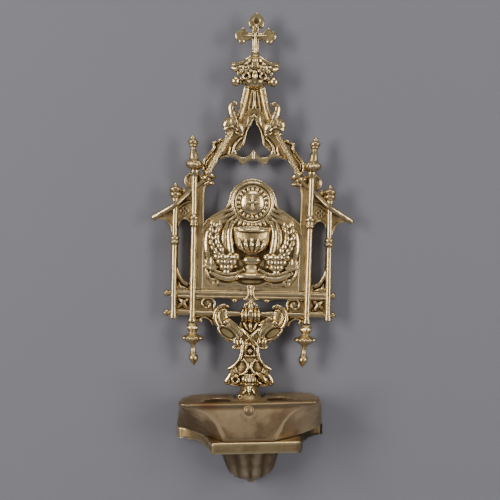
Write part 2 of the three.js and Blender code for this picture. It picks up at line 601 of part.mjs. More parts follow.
// Pierced plates between the columns, lapped behind the rods that frame them
function sidePanel() {
  const x0 = INNER_COLUMN_X + JOINT_GAP;
  const x1 = OUTER_COLUMN_X - JOINT_GAP / 2;
  const middle = (x0 + x1) / 2;
  const outline = new THREE.Shape().moveTo(x0, SIDE_PANEL_Z);
  outline.quadraticCurveTo(x0 + 1, SIDE_PANEL_Z + 3.4, middle, SIDE_PANEL_Z + 3.4);
  outline.quadraticCurveTo(x1 - 1, SIDE_PANEL_Z + 3.4, x1, SIDE_PANEL_Z);
  outline.lineTo(x1, eaveZ(x1));
  outline.lineTo(x0, eaveZ(x0));
  const foils = [[1, 0], [-1, 0], [0, 1], [0, -1]].map(([dx, dz]) => {
    const centre = [middle + dx * QUATREFOIL_RADIUS, QUATREFOIL_Z + dz * QUATREFOIL_RADIUS];
    const foil = new THREE.Shape().absarc(...centre, QUATREFOIL_RADIUS, 0, 2 * Math.PI);
    return plate(foil, 0, PANEL_BACK + PANEL_THICKNESS + 1, 5);
  });
  return fittedTo(plate(outline, PANEL_BACK, PANEL_THICKNESS), ...foils, eaveRod(JOINT_GAP));
}

function eaveBracket() {
  const x = OUTER_COLUMN_X + JOINT_GAP / 2;
  const tip = x + BRACKET_LENGTH;
  const outline = new THREE.Shape().moveTo(x, eaveZ(x));
  outline.lineTo(x, eaveZ(x) - EAVE_RADIUS - BRACKET_DEPTH);
  outline.quadraticCurveTo(x + BRACKET_LENGTH * 0.35, eaveZ(tip) - EAVE_RADIUS, tip, eaveZ(tip));
  return fittedTo(plate(outline, PANEL_BACK, PANEL_THICKNESS), eaveRod(JOINT_GAP));
}

function archBrace() {
  const x0 = INNER_COLUMN_X + JOINT_GAP;
  const x1 = OUTER_COLUMN_X;
  const top = UPPER_RAIL_Z + BRACE_RISE;
  const spring = UPPER_RAIL_Z + BRACE_FOOT_RISE;
  const outline = new THREE.Shape().moveTo(x0, UPPER_RAIL_Z + JOINT_GAP / 2);
  outline.lineTo(x1 + OUTER_COLUMN_RADIUS / 2, UPPER_RAIL_Z + JOINT_GAP / 2);
  outline.lineTo(x1 + OUTER_COLUMN_RADIUS / 2, top);
  outline.lineTo(x1, top);
  outline.bezierCurveTo(x1, (top + spring) / 2, (x0 + x1) / 2, spring, x0, spring);
  return fittedTo(plate(outline, PANEL_BACK, PANEL_THICKNESS), upperRail(JOINT_GAP));
}

function railPanel() {
  const x0 = INNER_COLUMN_X;
  const x1 = OUTER_COLUMN_X + OUTER_COLUMN_RADIUS / 2;
  const middle = (INNER_COLUMN_X + OUTER_COLUMN_X) / 2;
  const z0 = LOWER_RAIL_Z;
  const z1 = UPPER_RAIL_Z - JOINT_GAP / 2;
  const panel = block(x0, x1, PANEL_BACK, PANEL_BACK + PANEL_THICKNESS, z0, z1);
  const rosette = ball(ROSETTE_RADIUS, 0, 0, 0, 10)
    .scale([1, ROSETTE_DEPTH / ROSETTE_RADIUS, 1])
    .translate([middle, -PANEL_BACK - PANEL_THICKNESS, (z0 + z1) / 2]);
  const behind = block(x0 - 9, x1 + 9, -9, PANEL_BACK, z0 - 9, z1 + 9);
  return fittedTo(
    joined(panel, rosette), behind, upperRail(JOINT_GAP), lowerRail(JOINT_GAP),
    innerShaft(JOINT_GAP), outerShaft(JOINT_GAP));
}

// Relief plaque: rectangular field with a round glory, and the relief on its front
function reliefPlaque() {
  const glory = [0, PLAQUE_Z + GLORY_RISE];
  const field = block(
    -PLAQUE_HALF_WIDTH, PLAQUE_HALF_WIDTH, 0, PLAQUE_THICKNESS, PLAQUE_Z, PLAQUE_Z + SHOULDER_RISE);
  const disc = plate(
    new THREE.Shape().absarc(...glory, GLORY_RADIUS, 0, 2 * Math.PI), 0, PLAQUE_THICKNESS, 16);
  const rays = shapeOf(
    Array.from({ length: 2 * RAY_COUNT }, (_, i) => {
      const reach = i % 2 ? GLORY_RADIUS - 0.4 : HOST_RADIUS * 1.25;
      const turn = (i * Math.PI) / RAY_COUNT;
      return [glory[0] + reach * Math.sin(turn), glory[1] + reach * Math.cos(turn)];
    }).reverse());
  const host = new THREE.Shape().absarc(...glory, HOST_RADIUS, 0, 2 * Math.PI);
  const chalice = turned(CHALICE, 14)
    .scale([1, RELIEF_DEPTH / CHALICE[1][0], 1])
    .translate([0, -PLAQUE_THICKNESS, PLAQUE_Z + CHALICE_FOOT_RISE]);
  const front = joined(
    chalice, plate(rays, PLAQUE_THICKNESS / 2, PLAQUE_THICKNESS / 2 + RELIEF_DEPTH / 3),
    plate(host, PLAQUE_THICKNESS / 2, PLAQUE_THICKNESS / 2 + RELIEF_DEPTH * 0.7, 12), ...fruits());
  const behind = block(
    -CUTTER_REACH, CUTTER_REACH, -CUTTER_REACH, PLAQUE_THICKNESS / 2, -CUTTER_REACH, CUTTER_REACH);
  return joined(field, disc, cutBy(front, behind));
}

// Grape bunches and wheat ears on both sides of the chalice
function fruits() {
  const solids = [];
  for (const side of [-1, 1]) {
    for (let row = 0; row < GRAPE_ROWS; row += 1) {
      for (let k = 0; k < GRAPE_ROWS - row; k += 1) {
        const x = GRAPE_X + (k - (GRAPE_ROWS - row - 1) / 2) * GRAPE_RADIUS * 1.8;
        const z = PLAQUE_Z + GRAPE_RISE - row * GRAPE_RADIUS * 1.6;
        solids.push(ball(GRAPE_RADIUS, side * x, PLAQUE_THICKNESS, z, 6));
      }
    }
    for (let grain = 0; grain < EAR_GRAINS; grain += 1) {
      for (const lean of [-1, 1]) {
        solids.push(
          ball(GRAIN_LENGTH / 2, 0, 0, 0, 6)
            .scale([0.42, 0.5, 1])
            .rotate([0, 24 * lean, 0])
            .translate([
              side * EAR_X + lean * 1.3, -PLAQUE_THICKNESS, PLAQUE_Z + EAR_RISE + grain * GRAIN_PITCH,
            ]));
      }
    }
  }
  return solids;
}

// Clasp over the upper rail, with a lip against the foot of the plaque
function sillClasp() {
  const half = CLASP_WIDTH / 2;
  const front = RAIL_STANDOFF + UPPER_RAIL_RADIUS + JOINT_GAP + CLASP_THICKNESS;
  const bottom = UPPER_RAIL_Z - CLASP_DROP;
  const lip = PLAQUE_THICKNESS + JOINT_GAP;
  const body = block(-half, half, lip, front, bottom, bottom + CLASP_HEIGHT);
  const under = block(-half, half, 0, RAIL_STANDOFF, bottom - 1, UPPER_RAIL_Z);
  return fittedTo(body, upperRail(JOINT_GAP), under);
}

// Scroll spandrel between the rails, beside the inner column
function volute() {
  const z = (UPPER_RAIL_Z + LOWER_RAIL_Z) / 2;
  const eyeZ = z + 0.4;
  const disc = new THREE.Shape().absarc(VOLUTE_X, eyeZ, VOLUTE_RADIUS, 0, 2 * Math.PI);
  const web = shapeOf([
    [VOLUTE_X - 2, UPPER_RAIL_Z], [VOLUTE_X, eyeZ], [VOLUTE_X - VOLUTE_RADIUS, LOWER_RAIL_Z],
    [INNER_COLUMN_X, LOWER_RAIL_Z], [INNER_COLUMN_X, UPPER_RAIL_Z],
  ]);
  const solid = joined(
    plate(disc, VOLUTE_STANDOFF, VOLUTE_THICKNESS, 8), plate(web, VOLUTE_STANDOFF, VOLUTE_THICKNESS * 0.6));
  return fittedTo(solid, upperRail(JOINT_GAP), lowerRail(JOINT_GAP), innerShaft(JOINT_GAP), eye(JOINT_GAP));
}

// Ribbed drum on the lower rail, with a neck up to the upper rail and a leaf under it
function railKnuckle() {
  const drum = lying(KNUCKLE, RAIL_STANDOFF, LOWER_RAIL_Z, 14);
  const neck = standing(pin(CLASP_WIDTH / 4, LOWER_RAIL_Z, UPPER_RAIL_Z), 0, RAIL_STANDOFF, 0, 8);
  const clasp = block(
    -CLASP_WIDTH, CLASP_WIDTH, RAIL_STANDOFF - JOINT_GAP, 20, UPPER_RAIL_Z - CLASP_DROP - JOINT_GAP,
    UPPER_RAIL_Z + 9);
  return fittedTo(joined(drum, neck), lowerRail(JOINT_GAP), upperRail(JOINT_GAP), clasp);
}

// Straps: each hangs on the lower rail by an eye, and the left one crosses in front of the right one
function eye(grow = 0) {
  const half = EYE_WIDTH / 2;
  return turned(pin(EYE_RADIUS, -half, half), 14, grow)
    .rotate([0, 90, 0])
    .scale([1, 1, EYE_TALLNESS])
    .translate([EYE_X, -RAIL_STANDOFF, LOWER_RAIL_Z]);
}

function bracketStrap(standoff) {
  const z = LOWER_RAIL_Z;
  const run = strap(
    [
      at(EYE_X, standoff, z - EYE_RADIUS), at(EYE_X * 0.72, standoff, z - STRAP_CROSS_DROP * 0.62),
      at(EYE_X * 0.25, standoff, z - STRAP_CROSS_DROP * 0.9), at(0, standoff, z - STRAP_CROSS_DROP),
      at(-STRAP_END_X, standoff, z - STRAP_END_DROP),
    ],
    STRAP_WIDTH, STRAP_THICKNESS, 10);
  return fittedTo(joined(eye(), run), lowerRail(JOINT_GAP), stemBody(JOINT_GAP));
}

// Stem: leaf console flattened against the wall, with a foot and a tongue for the basin
function stemBody(grow = 0) {
  return turned(STEM, 24, grow, STEM_LEAVES)
    .scale([1, STEM_FLATNESS, 1])
    .translate([0, -STEM_STANDOFF, STEM_TOP_Z]);
}

function stemFoot(grow = 0) {
  return turned(FOOT, 20, grow).scale([1, FOOT_DEPTH_RATIO, 1]).translate([0, -FOOT_STANDOFF, STEM_TOP_Z]);
}

function acanthusStem() {
  const half = TONGUE_THICKNESS / 2;
  const tongue = block(
    -TONGUE_WIDTH / 2, TONGUE_WIDTH / 2, STEM_STANDOFF - half, STEM_STANDOFF + half,
    TONGUE_BOTTOM_Z, STEM_FOOT_Z + FOOT_SINK);
  return cutBy(joined(stemBody(), stemFoot(), tongue), rivetBore());
}

const rivetBore = () =>
  turned(pin(RIVET_RADIUS + JOINT_GAP, RIVET_BACK - JOINT_GAP, RIM_DEPTH + 2), 12)
    .rotate([90, 0, 0])
    .translate([0, 0, RIVET_Z]);

function basinRivet() {
  const shank = pin(RIVET_RADIUS, RIVET_BACK, RIM_DEPTH + 1);
  const head = turned(RIVET_HEAD, 14).translate([0, 0, RIM_DEPTH + JOINT_GAP]);
  return joined(turned(shank, 12), head).rotate([90, 0, 0]).translate([0, 0, RIVET_Z]);
}

// Basin: lofted bowl between the rim and the coved base, in heights below the rivet's axis
function loft(rings) {
  const count = rings[0].length;
  const index = [];
  for (let ring = 0; ring + 1 < rings.length; ring += 1) {
    for (let k = 0; k < count; k += 1) {
      const [a, b] = [ring * count + k, ring * count + ((k + 1) % count)];
      index.push(a, b, b + count, a, b + count, a + count);
    }
  }
  const flat = (ring) => ring.map((point) => new THREE.Vector2(point.x, point.y));
  const top = (rings.length - 1) * count;
  THREE.ShapeUtils.triangulateShape(flat(rings[0]), []).forEach(([a, b, c]) => index.push(a, c, b));
  THREE.ShapeUtils.triangulateShape(flat(rings.at(-1)), [])
    .forEach(([a, b, c]) => index.push(top + a, top + b, top + c));
  const geometry = new THREE.BufferGeometry();
  geometry.setFromPoints(rings.flat());
  geometry.setIndex(index);
  return solidOf(geometry);
}

const SIDE_POINTS = 6;

// Right half of the rim and of the base, from the wall round to the front crease, as [x, stand-off, shift]
function rimHalf() {
  const curve = Array.from({ length: SIDE_POINTS - 2 }, (_, i) => {
    const turn = (i / (SIDE_POINTS - 3)) * (Math.PI / 2);
    return [
      DECK_BACK_HALF_WIDTH + (RIM_HALF_WIDTH - DECK_BACK_HALF_WIDTH) * Math.sin(turn),
      DECK_SHOULDER_DEPTH * (1 - Math.cos(turn)), 0,
    ];
  });
  return [
    ...curve, [RIM_HALF_WIDTH, RIM_DEPTH - RIM_CORNER, 0],
    [RIM_HALF_WIDTH - RIM_CORNER / 4, RIM_DEPTH - RIM_CORNER / 3, 0],
    [RIM_HALF_WIDTH - RIM_CORNER, RIM_DEPTH, 0],
  ];
}

function baseHalf(projection) {
  const cove = Array.from({ length: SIDE_POINTS }, (_, i) => {
    const turn = (1 - i / (SIDE_POINTS - 1)) * (Math.PI / 2);
    const depth = (BASE_DEPTH + projection) * (1 - Math.sin(turn));
    const x = BASE_HALF_WIDTH + projection - (BASE_HALF_WIDTH - BASE_FRONT_HALF_WIDTH) * Math.cos(turn);
    return [x, depth, (BASE_SHIFT * depth) / BASE_DEPTH];
  });
  return [...cove, [CREASE_FOOT_X, BASE_DEPTH + projection, 0]];
}

function ringOf(half, z) {
  const left = half.map(([x, standoff, shift]) => at(shift - x, standoff, z));
  const right = half.map(([x, standoff, shift]) => at(shift + x, standoff, z));
  return [...left, ...right.reverse()];
}

// How far each outline point has gone from the rim to the base at a share of the drop
function swept(rim, base, drop) {
  return rim.map((start, i) => {
    const crease = i === rim.length - 1;
    const side = !crease && i > 0;
    const share = side ? drop ** SIDE_EASE : 1 - (1 - drop) ** (crease ? CREASE_EASE : WALL_EASE);
    const depthShare = crease ? drop ** 2 : share;
    const bulge = side ? SIDE_BULGE * Math.sin(Math.PI * drop) : 0;
    return [
      start[0] + (base[i][0] - start[0]) * share + bulge, start[1] + (base[i][1] - start[1]) * depthShare,
      base[i][2] * share,
    ];
  });
}

function basinBody() {
  const drops = [1, 0.85, 0.7, 0.5, 0.3, 0.15, 0];
  const rings = drops.map((drop) => ringOf(swept(rimHalf(), baseHalf(0), drop), LIP_Z - drop * BOWL_HEIGHT));
  const wells = [-1, 1].map((side) => {
    const profile = [
      [0, -WELL_DEPTH], [WELL_RADIUS * 0.55, -WELL_DEPTH * 0.96], [WELL_RADIUS * 0.85, -WELL_DEPTH * 0.84],
      [WELL_RADIUS, -WELL_DEPTH * 0.6], [WELL_RADIUS, 3], [0, 3],
    ];
    return standing(profile, side * WELL_X, WELL_STANDOFF, DECK_Z, 18);
  });
  const deck = block(
    -CUTTER_REACH, CUTTER_REACH, -CUTTER_REACH, RIM_DEPTH - LIP_WIDTH, DECK_Z, LIP_Z + CUTTER_REACH);
  const notch = [
    stemFoot(FOOT_CLEARANCE),
    block(
      -NOTCH_HALF_WIDTH, NOTCH_HALF_WIDTH, -CUTTER_REACH, FOOT_STANDOFF, STEM_FOOT_Z - FOOT_CLEARANCE,
      DECK_Z + CUTTER_REACH),
  ];
  const slotHalf = TONGUE_THICKNESS / 2 + TONGUE_CLEARANCE;
  const slot = block(
    -TONGUE_WIDTH / 2 - TONGUE_CLEARANCE, TONGUE_WIDTH / 2 + TONGUE_CLEARANCE, STEM_STANDOFF - slotHalf,
    STEM_STANDOFF + slotHalf, TONGUE_BOTTOM_Z - TONGUE_CLEARANCE, DECK_Z);
  return cutBy(loft(rings), deck, ...wells, ...notch, slot, rivetBore());
}

const baseBand = () =>
  loft([
    ringOf(baseHalf(BAND_PROJECTION), BAND_TOP_Z - BAND_HEIGHT), ringOf(baseHalf(BAND_PROJECTION), BAND_TOP_Z),
  ]);

function flutedBoss() {
  const boss = turned(BOSS, 48, 0, BOSS_FLUTES)
    .rotate([0, 0, 180 / BOSS_FLUTES])
    .scale([1, BOSS_DEPTH_RATIO, 1])
    .translate([0, 0, BOSS_TOP_Z]);
  return cutBy(boss, block(
    -CUTTER_REACH, CUTTER_REACH, -CUTTER_REACH, 0, BOSS_TOP_Z - CUTTER_REACH, BOSS_TOP_Z + CUTTER_REACH));
}

// Assembly: the back at its place on the wall, the basin turned a little on its rivet
const FINISH = {
  polished: { color: 0xb3935c, roughness: 0.34, metalness: 1 },
  dull: { color: 0x93795a, roughness: 0.5, metalness: 1 },
};

function meshOf(name, solid, finish) {
  const mesh = new THREE.Mesh(geometryOf(solid), new THREE.MeshStandardMaterial(FINISH[finish]));
  mesh.name = name;
  return mesh;
}

const single = {
  cross_finial: crossFinial(),
  crown_knop: crownKnop(),
  gable_tracery: tracery(),
  upper_rail: upperRail(),
  lower_rail: lowerRail(),
  relief_plaque: reliefPlaque(),
  sill_clasp: sillClasp(),
  rail_knuckle: railKnuckle(),
  acanthus_stem: acanthusStem(),
  basin_rivet: basinRivet(),
  bracket_strap_right: bracketStrap(STRAP_BACK_STANDOFF),
  bracket_strap_left: mirrored(bracketStrap(STRAP_FRONT_STANDOFF)),
};

const paired = {
  rafter: rafter(),
  large_crocket: largeCrocket(),
  rafter_leaf: rafterLeaf(),
  rafter_foot: rafterFoot(),
  inner_column: innerColumn(),
  inner_finial: innerFinial(),
  outer_column: outerColumn(),
  outer_finial: outerFinial(),
  eave_rod: eaveRod(),
  eave_bracket: eaveBracket(),
  side_panel: sidePanel(),
  arch_brace: archBrace(),
  rail_panel: railPanel(),
  volute: volute(),
  drop: drop(),
};

const stoup = new THREE.Group();
Object.entries(single).forEach(([name, solid]) => stoup.add(meshOf(name, solid, "polished")));
Object.entries(paired).forEach(([name, solid]) => {
  stoup.add(meshOf(`${name}_right`, solid, "polished"));
  stoup.add(meshOf(`${name}_left`, mirrored(solid), "polished"));
});

const basin = new THREE.Group();
basin.position.z = RIVET_Z;
basin.rotation.y = THREE.MathUtils.degToRad(-BASIN_TILT_DEG);
Object.entries({ basin_body: basinBody(), base_band: baseBand(), fluted_boss: flutedBoss() }).forEach(
  ([name, solid]) => basin.add(meshOf(name, solid.translate([0, 0, -RIVET_Z]), "dull")));
stoup.add(basin);

export default stoup;
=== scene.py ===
import json
import math

import bpy
import numpy as np
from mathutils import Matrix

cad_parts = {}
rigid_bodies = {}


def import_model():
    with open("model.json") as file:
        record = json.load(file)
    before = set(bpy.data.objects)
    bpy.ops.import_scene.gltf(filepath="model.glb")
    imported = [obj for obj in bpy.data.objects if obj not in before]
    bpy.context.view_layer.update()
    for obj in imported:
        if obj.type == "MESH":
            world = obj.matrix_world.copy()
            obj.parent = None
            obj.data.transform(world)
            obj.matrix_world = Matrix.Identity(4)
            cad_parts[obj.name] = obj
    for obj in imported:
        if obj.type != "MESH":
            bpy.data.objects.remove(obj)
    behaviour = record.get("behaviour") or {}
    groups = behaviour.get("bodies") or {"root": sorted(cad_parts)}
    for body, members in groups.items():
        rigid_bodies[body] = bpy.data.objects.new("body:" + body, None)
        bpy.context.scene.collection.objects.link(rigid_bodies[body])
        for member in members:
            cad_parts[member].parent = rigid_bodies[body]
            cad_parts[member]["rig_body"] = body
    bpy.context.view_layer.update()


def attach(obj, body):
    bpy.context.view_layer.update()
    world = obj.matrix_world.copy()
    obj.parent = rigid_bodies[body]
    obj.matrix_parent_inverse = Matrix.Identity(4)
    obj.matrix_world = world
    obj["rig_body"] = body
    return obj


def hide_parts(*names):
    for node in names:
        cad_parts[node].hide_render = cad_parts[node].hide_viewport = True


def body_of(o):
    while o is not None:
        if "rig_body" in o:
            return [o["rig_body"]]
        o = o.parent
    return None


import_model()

# Studio: a pale wall behind the hung stoup, a pale floor far below it, and soft lamps with one
# large one from the upper left. The wall can be seen only from the front, so the back stays open.
bpy.ops.object.select_all(action="DESELECT")
bpy.ops.mesh.primitive_plane_add(size=6, location=(0, 0.0032, 1.8), rotation=(math.pi / 2, 0, 0))
wall = bpy.context.object
wall.name = "studio_wall"
bpy.ops.object.select_all(action="DESELECT")
bpy.ops.mesh.primitive_plane_add(size=8, location=(0, 0, -1.2))
floor = bpy.context.object
floor.name = "studio_floor"
for name, piece, grey in (("wall_paint", wall, 0.19), ("floor_paint", floor, 0.62)):
    paint = bpy.data.materials.new(name)
    paint.use_nodes = True
    coat = paint.node_tree.nodes["Principled BSDF"]
    coat.inputs["Base Color"].default_value = (grey * 0.95, grey * 0.98, grey * 1.18, 1)
    coat.inputs["Roughness"].default_value = 0.85
    piece.data.materials.append(paint)
nodes = wall.data.materials[0].node_tree.nodes
links = wall.data.materials[0].node_tree.links
seen_side = nodes.new("ShaderNodeNewGeometry")
see_through = nodes.new("ShaderNodeBsdfTransparent")
either = nodes.new("ShaderNodeMixShader")
path = nodes.new("ShaderNodeLightPath")
close_by = nodes.new("ShaderNodeMath")
close_by.operation = "LESS_THAN"
links.new(path.outputs["Ray Length"], close_by.inputs[0])
close_by.inputs[1].default_value = 0.006
direct = nodes.new("ShaderNodeMath")
direct.operation = "LESS_THAN"
links.new(path.outputs["Diffuse Depth"], direct.inputs[0])
direct.inputs[1].default_value = 0.5
mirrored = nodes.new("ShaderNodeMath")
mirrored.operation = "MULTIPLY"
links.new(path.outputs["Is Glossy Ray"], mirrored.inputs[0])
links.new(direct.outputs["Value"], mirrored.inputs[1])
parted = nodes.new("ShaderNodeSeparateXYZ")
links.new(seen_side.outputs["Position"], parted.inputs["Vector"])
over_deck = nodes.new("ShaderNodeMath")
over_deck.operation = "COMPARE"
links.new(parted.outputs["Z"], over_deck.inputs[0])
over_deck.inputs[1].default_value = -0.0725
over_deck.inputs[2].default_value = 0.0065
open_back = nodes.new("ShaderNodeMath")
open_back.operation = "MULTIPLY"
links.new(close_by.outputs["Value"], open_back.inputs[0])
links.new(mirrored.outputs["Value"], open_back.inputs[1])
clear = nodes.new("ShaderNodeMath")
clear.operation = "SUBTRACT"
clear.use_clamp = True
links.new(open_back.outputs["Value"], clear.inputs[0])
links.new(over_deck.outputs["Value"], clear.inputs[1])
hidden = nodes.new("ShaderNodeMath")
hidden.operation = "MAXIMUM"
links.new(clear.outputs["Value"], hidden.inputs[0])
links.new(seen_side.outputs["Backfacing"], hidden.inputs[1])
links.new(hidden.outputs["Value"], either.inputs["Fac"])
links.new(nodes["Principled BSDF"].outputs["BSDF"], either.inputs[1])
links.new(see_through.outputs["BSDF"], either.inputs[2])
links.new(either.outputs["Shader"], nodes["Material Output"].inputs["Surface"])

for name, place, power, wide, tall, tint in (
    ("left_lamp", (-1.0, -0.8, 0.2), 14.5, 0.3, 0.9, (1.0, 0.94, 0.84)),
    ("right_lamp", (1.0, -0.8, 0.1), 9.8, 0.3, 0.9, (1.0, 0.94, 0.85)),
    ("top_lamp", (0.0, -0.5, 1.3), 7, 0.7, 0.4, (1.0, 0.95, 0.88)),
    ("back_lamp", (0.3, 1.0, 0.7), 14, 0.8, 0.8, (1.0, 0.97, 0.92)),
):
    glow = bpy.data.lights.new(name, "AREA")
    glow.shape = "RECTANGLE"
    glow.energy = power
    glow.size = wide
    glow.size_y = tall
    glow.color = tint
    lamp = bpy.data.objects.new(name, glow)
    bpy.context.scene.collection.objects.link(lamp)
    lamp.location = place
    lamp.rotation_euler = (
        math.atan2(math.hypot(place[0], place[1]), place[2]), 0, math.atan2(place[0], -place[1]))

sky = bpy.data.worlds.new("studio_air")
bpy.context.scene.world = sky
sky.use_nodes = True
nodes = sky.node_tree.nodes
links = sky.node_tree.links
way = nodes.new("ShaderNodeTexCoord")
lean = nodes.new("ShaderNodeVectorMath")
lean.operation = "DOT_PRODUCT"
links.new(way.outputs["Generated"], lean.inputs[0])
lean.inputs[1].default_value = (-0.15, -0.1, 0.98)
light = nodes.new("ShaderNodeMapRange")
light.interpolation_type = "SMOOTHSTEP"
links.new(lean.outputs["Value"], light.inputs["Value"])
light.inputs["From Min"].default_value = -0.6
light.inputs["From Max"].default_value = 1.0
light.inputs["To Min"].default_value = 0.02
light.inputs["To Max"].default_value = 0.2
nodes["Background"].inputs["Color"].default_value = (1.0, 0.99, 0.97, 1)
parted = nodes.new("ShaderNodeSeparateXYZ")
links.new(way.outputs["Generated"], parted.inputs["Vector"])
behind = nodes.new("ShaderNodeMapRange")
behind.interpolation_type = "SMOOTHSTEP"
links.new(parted.outputs["Y"], behind.inputs["Value"])
behind.inputs["From Min"].default_value = 0.1
behind.inputs["From Max"].default_value = 0.9
behind.inputs["To Max"].default_value = 0.5
ahead = nodes.new("ShaderNodeMapRange")
ahead.interpolation_type = "SMOOTHSTEP"
links.new(parted.outputs["Y"], ahead.inputs["Value"])
ahead.inputs["From Min"].default_value = -0.75
ahead.inputs["From Max"].default_value = -1.0
ahead.inputs["To Max"].default_value = 0.26
ends = nodes.new("ShaderNodeMath")
links.new(behind.outputs["Result"], ends.inputs[0])
links.new(ahead.outputs["Result"], ends.inputs[1])
both = nodes.new("ShaderNodeMath")
links.new(light.outputs["Result"], both.inputs[0])
links.new(ends.outputs["Value"], both.inputs[1])
links.new(both.outputs["Value"], nodes["Background"].inputs["Strength"])

eye = bpy.data.cameras.new("camera")
eye.sensor_width = 36
eye.lens = 57.8
camera = bpy.data.objects.new("camera", eye)
bpy.context.scene.collection.objects.link(camera)
camera.location = (-0.00097, -0.46, 0.0042)
camera.rotation_euler = (math.pi / 2, math.radians(-1.05), 0)
bpy.context.scene.camera = camera


# Relief plaque: a thin cast plate between the columns with a swelling relief of a chalice before a
# veil, a host in its rays, wheat and grapes, and a lobed moulding round the foot. Worn brass:
# rubbed bright on what stands out, brown in the hollows as tarnish and as painted shade. It is cast
# in one with the frame.
def alone(*pieces):
    bpy.ops.object.select_all(action="DESELECT")
    for piece in pieces:
        piece.select_set(True)
        bpy.context.view_layer.objects.active = piece


def ball(x, out, z, radius, stretch=(1, 1, 1), turn=0.0):
    alone()
    bpy.ops.mesh.primitive_uv_sphere_add(
        segments=20, ring_count=12, radius=radius, location=(x, -out, z),
        rotation=(0, math.radians(turn), 0), scale=stretch)
    return bpy.context.object


def ring(x, out, z, radius, thick, turn=(90, 0, 0), stretch=(1, 1, 1)):
    alone()
    bpy.ops.mesh.primitive_torus_add(
        major_radius=radius, minor_radius=thick, major_segments=28, minor_segments=10,
        location=(x, -out, z), rotation=[math.radians(a) for a in turn])
    bpy.context.object.scale = stretch
    return bpy.context.object


def rod(points, radii, closed=False):
    alone()
    bpy.ops.curve.primitive_bezier_curve_add()
    wire = bpy.context.object
    wire.data.dimensions = "3D"
    wire.data.bevel_depth = 1
    wire.data.bevel_resolution = 3
    wire.data.use_fill_caps = True
    wire.data.resolution_u = 7
    line = wire.data.splines[0]
    line.radius_interpolation = "EASE"
    line.use_cyclic_u = closed
    line.bezier_points.add(len(points) - len(line.bezier_points))
    radii = radii if isinstance(radii, (list, tuple)) else [radii] * len(points)
    for knot, (x, out, z), radius in zip(line.bezier_points, points, radii):
        knot.co = (x, -out, z)
        knot.handle_left_type = knot.handle_right_type = "AUTO"
        knot.radius = radius
    bpy.ops.object.convert(target="MESH")
    return bpy.context.object


def plate(outlines, back, front, edge=0.4):
    alone()
    bpy.ops.curve.primitive_bezier_curve_add()
    sheet = bpy.context.object
    sheet.data.dimensions = "2D"
    sheet.data.fill_mode = "BOTH"
    sheet.data.splines.clear()
    for outline in outlines:
        line = sheet.data.splines.new("POLY")
        line.points.add(len(outline) - 1)
        for knot, (x, z) in zip(line.points, outline):
            knot.co = (x, z, 0, 1)
        line.use_cyclic_u = True
    sheet.data.extrude = (front - back) / 2 - edge
    sheet.data.bevel_depth = edge
    sheet.data.bevel_resolution = 2
    sheet.data.offset = -edge
    bpy.ops.object.convert(target="MESH")
    sheet = bpy.context.object
    sheet.location = (0, -(back + front) / 2, 0)
    sheet.rotation_euler = (math.pi / 2, 0, 0)
    return sheet


def smooth_line(points, steps=6, closed=False):
    knots = np.array(points, float)
    count = len(knots)
    found = []
    for i in range(count if closed else count - 1):
        a, b, c, d = (
            knots[(i + k) % count if closed else min(max(i + k, 0), count - 1)] for k in (-1, 0, 1, 2))
        for s in np.linspace(0, 1, steps, endpoint=False):
            found.append(tuple(
                0.5 * (2 * b + (c - a) * s + (2 * a - 5 * b + 4 * c - d) * s**2
                       + (3 * b - a - 3 * c + d) * s**3)))
    if not closed:
        found.append(tuple(knots[-1]))
    return found


def turned(profile, x, out, z, sides=32, lying=False):
    alone()
    first = max(profile[0][0], 0.03)
    bpy.ops.mesh.primitive_circle_add(
        vertices=sides, radius=first, fill_type="NGON", location=(0, 0, profile[0][1]))
    piece = bpy.context.object
    bpy.ops.object.mode_set(mode="EDIT")
    bpy.ops.mesh.select_all(action="SELECT")
    for (ra, ha), (rb, hb) in zip(profile, profile[1:]):
        bpy.ops.mesh.extrude_region_move(TRANSFORM_OT_translate={"value": (0, 0, hb - ha)})
        grow = max(rb, 0.03) / max(ra, 0.03)
        bpy.ops.transform.resize(value=(grow, grow, 1), center_override=(0, 0, hb))
    bpy.ops.mesh.select_all(action="SELECT")
    bpy.ops.mesh.normals_make_consistent(inside=False)
    bpy.ops.object.mode_set(mode="OBJECT")
    bpy.ops.object.transform_apply(location=True, rotation=True, scale=True)
    piece.rotation_euler = (0, math.pi / 2 if lying else 0, 0)
    piece.location = (x, -out, z)
    return piece
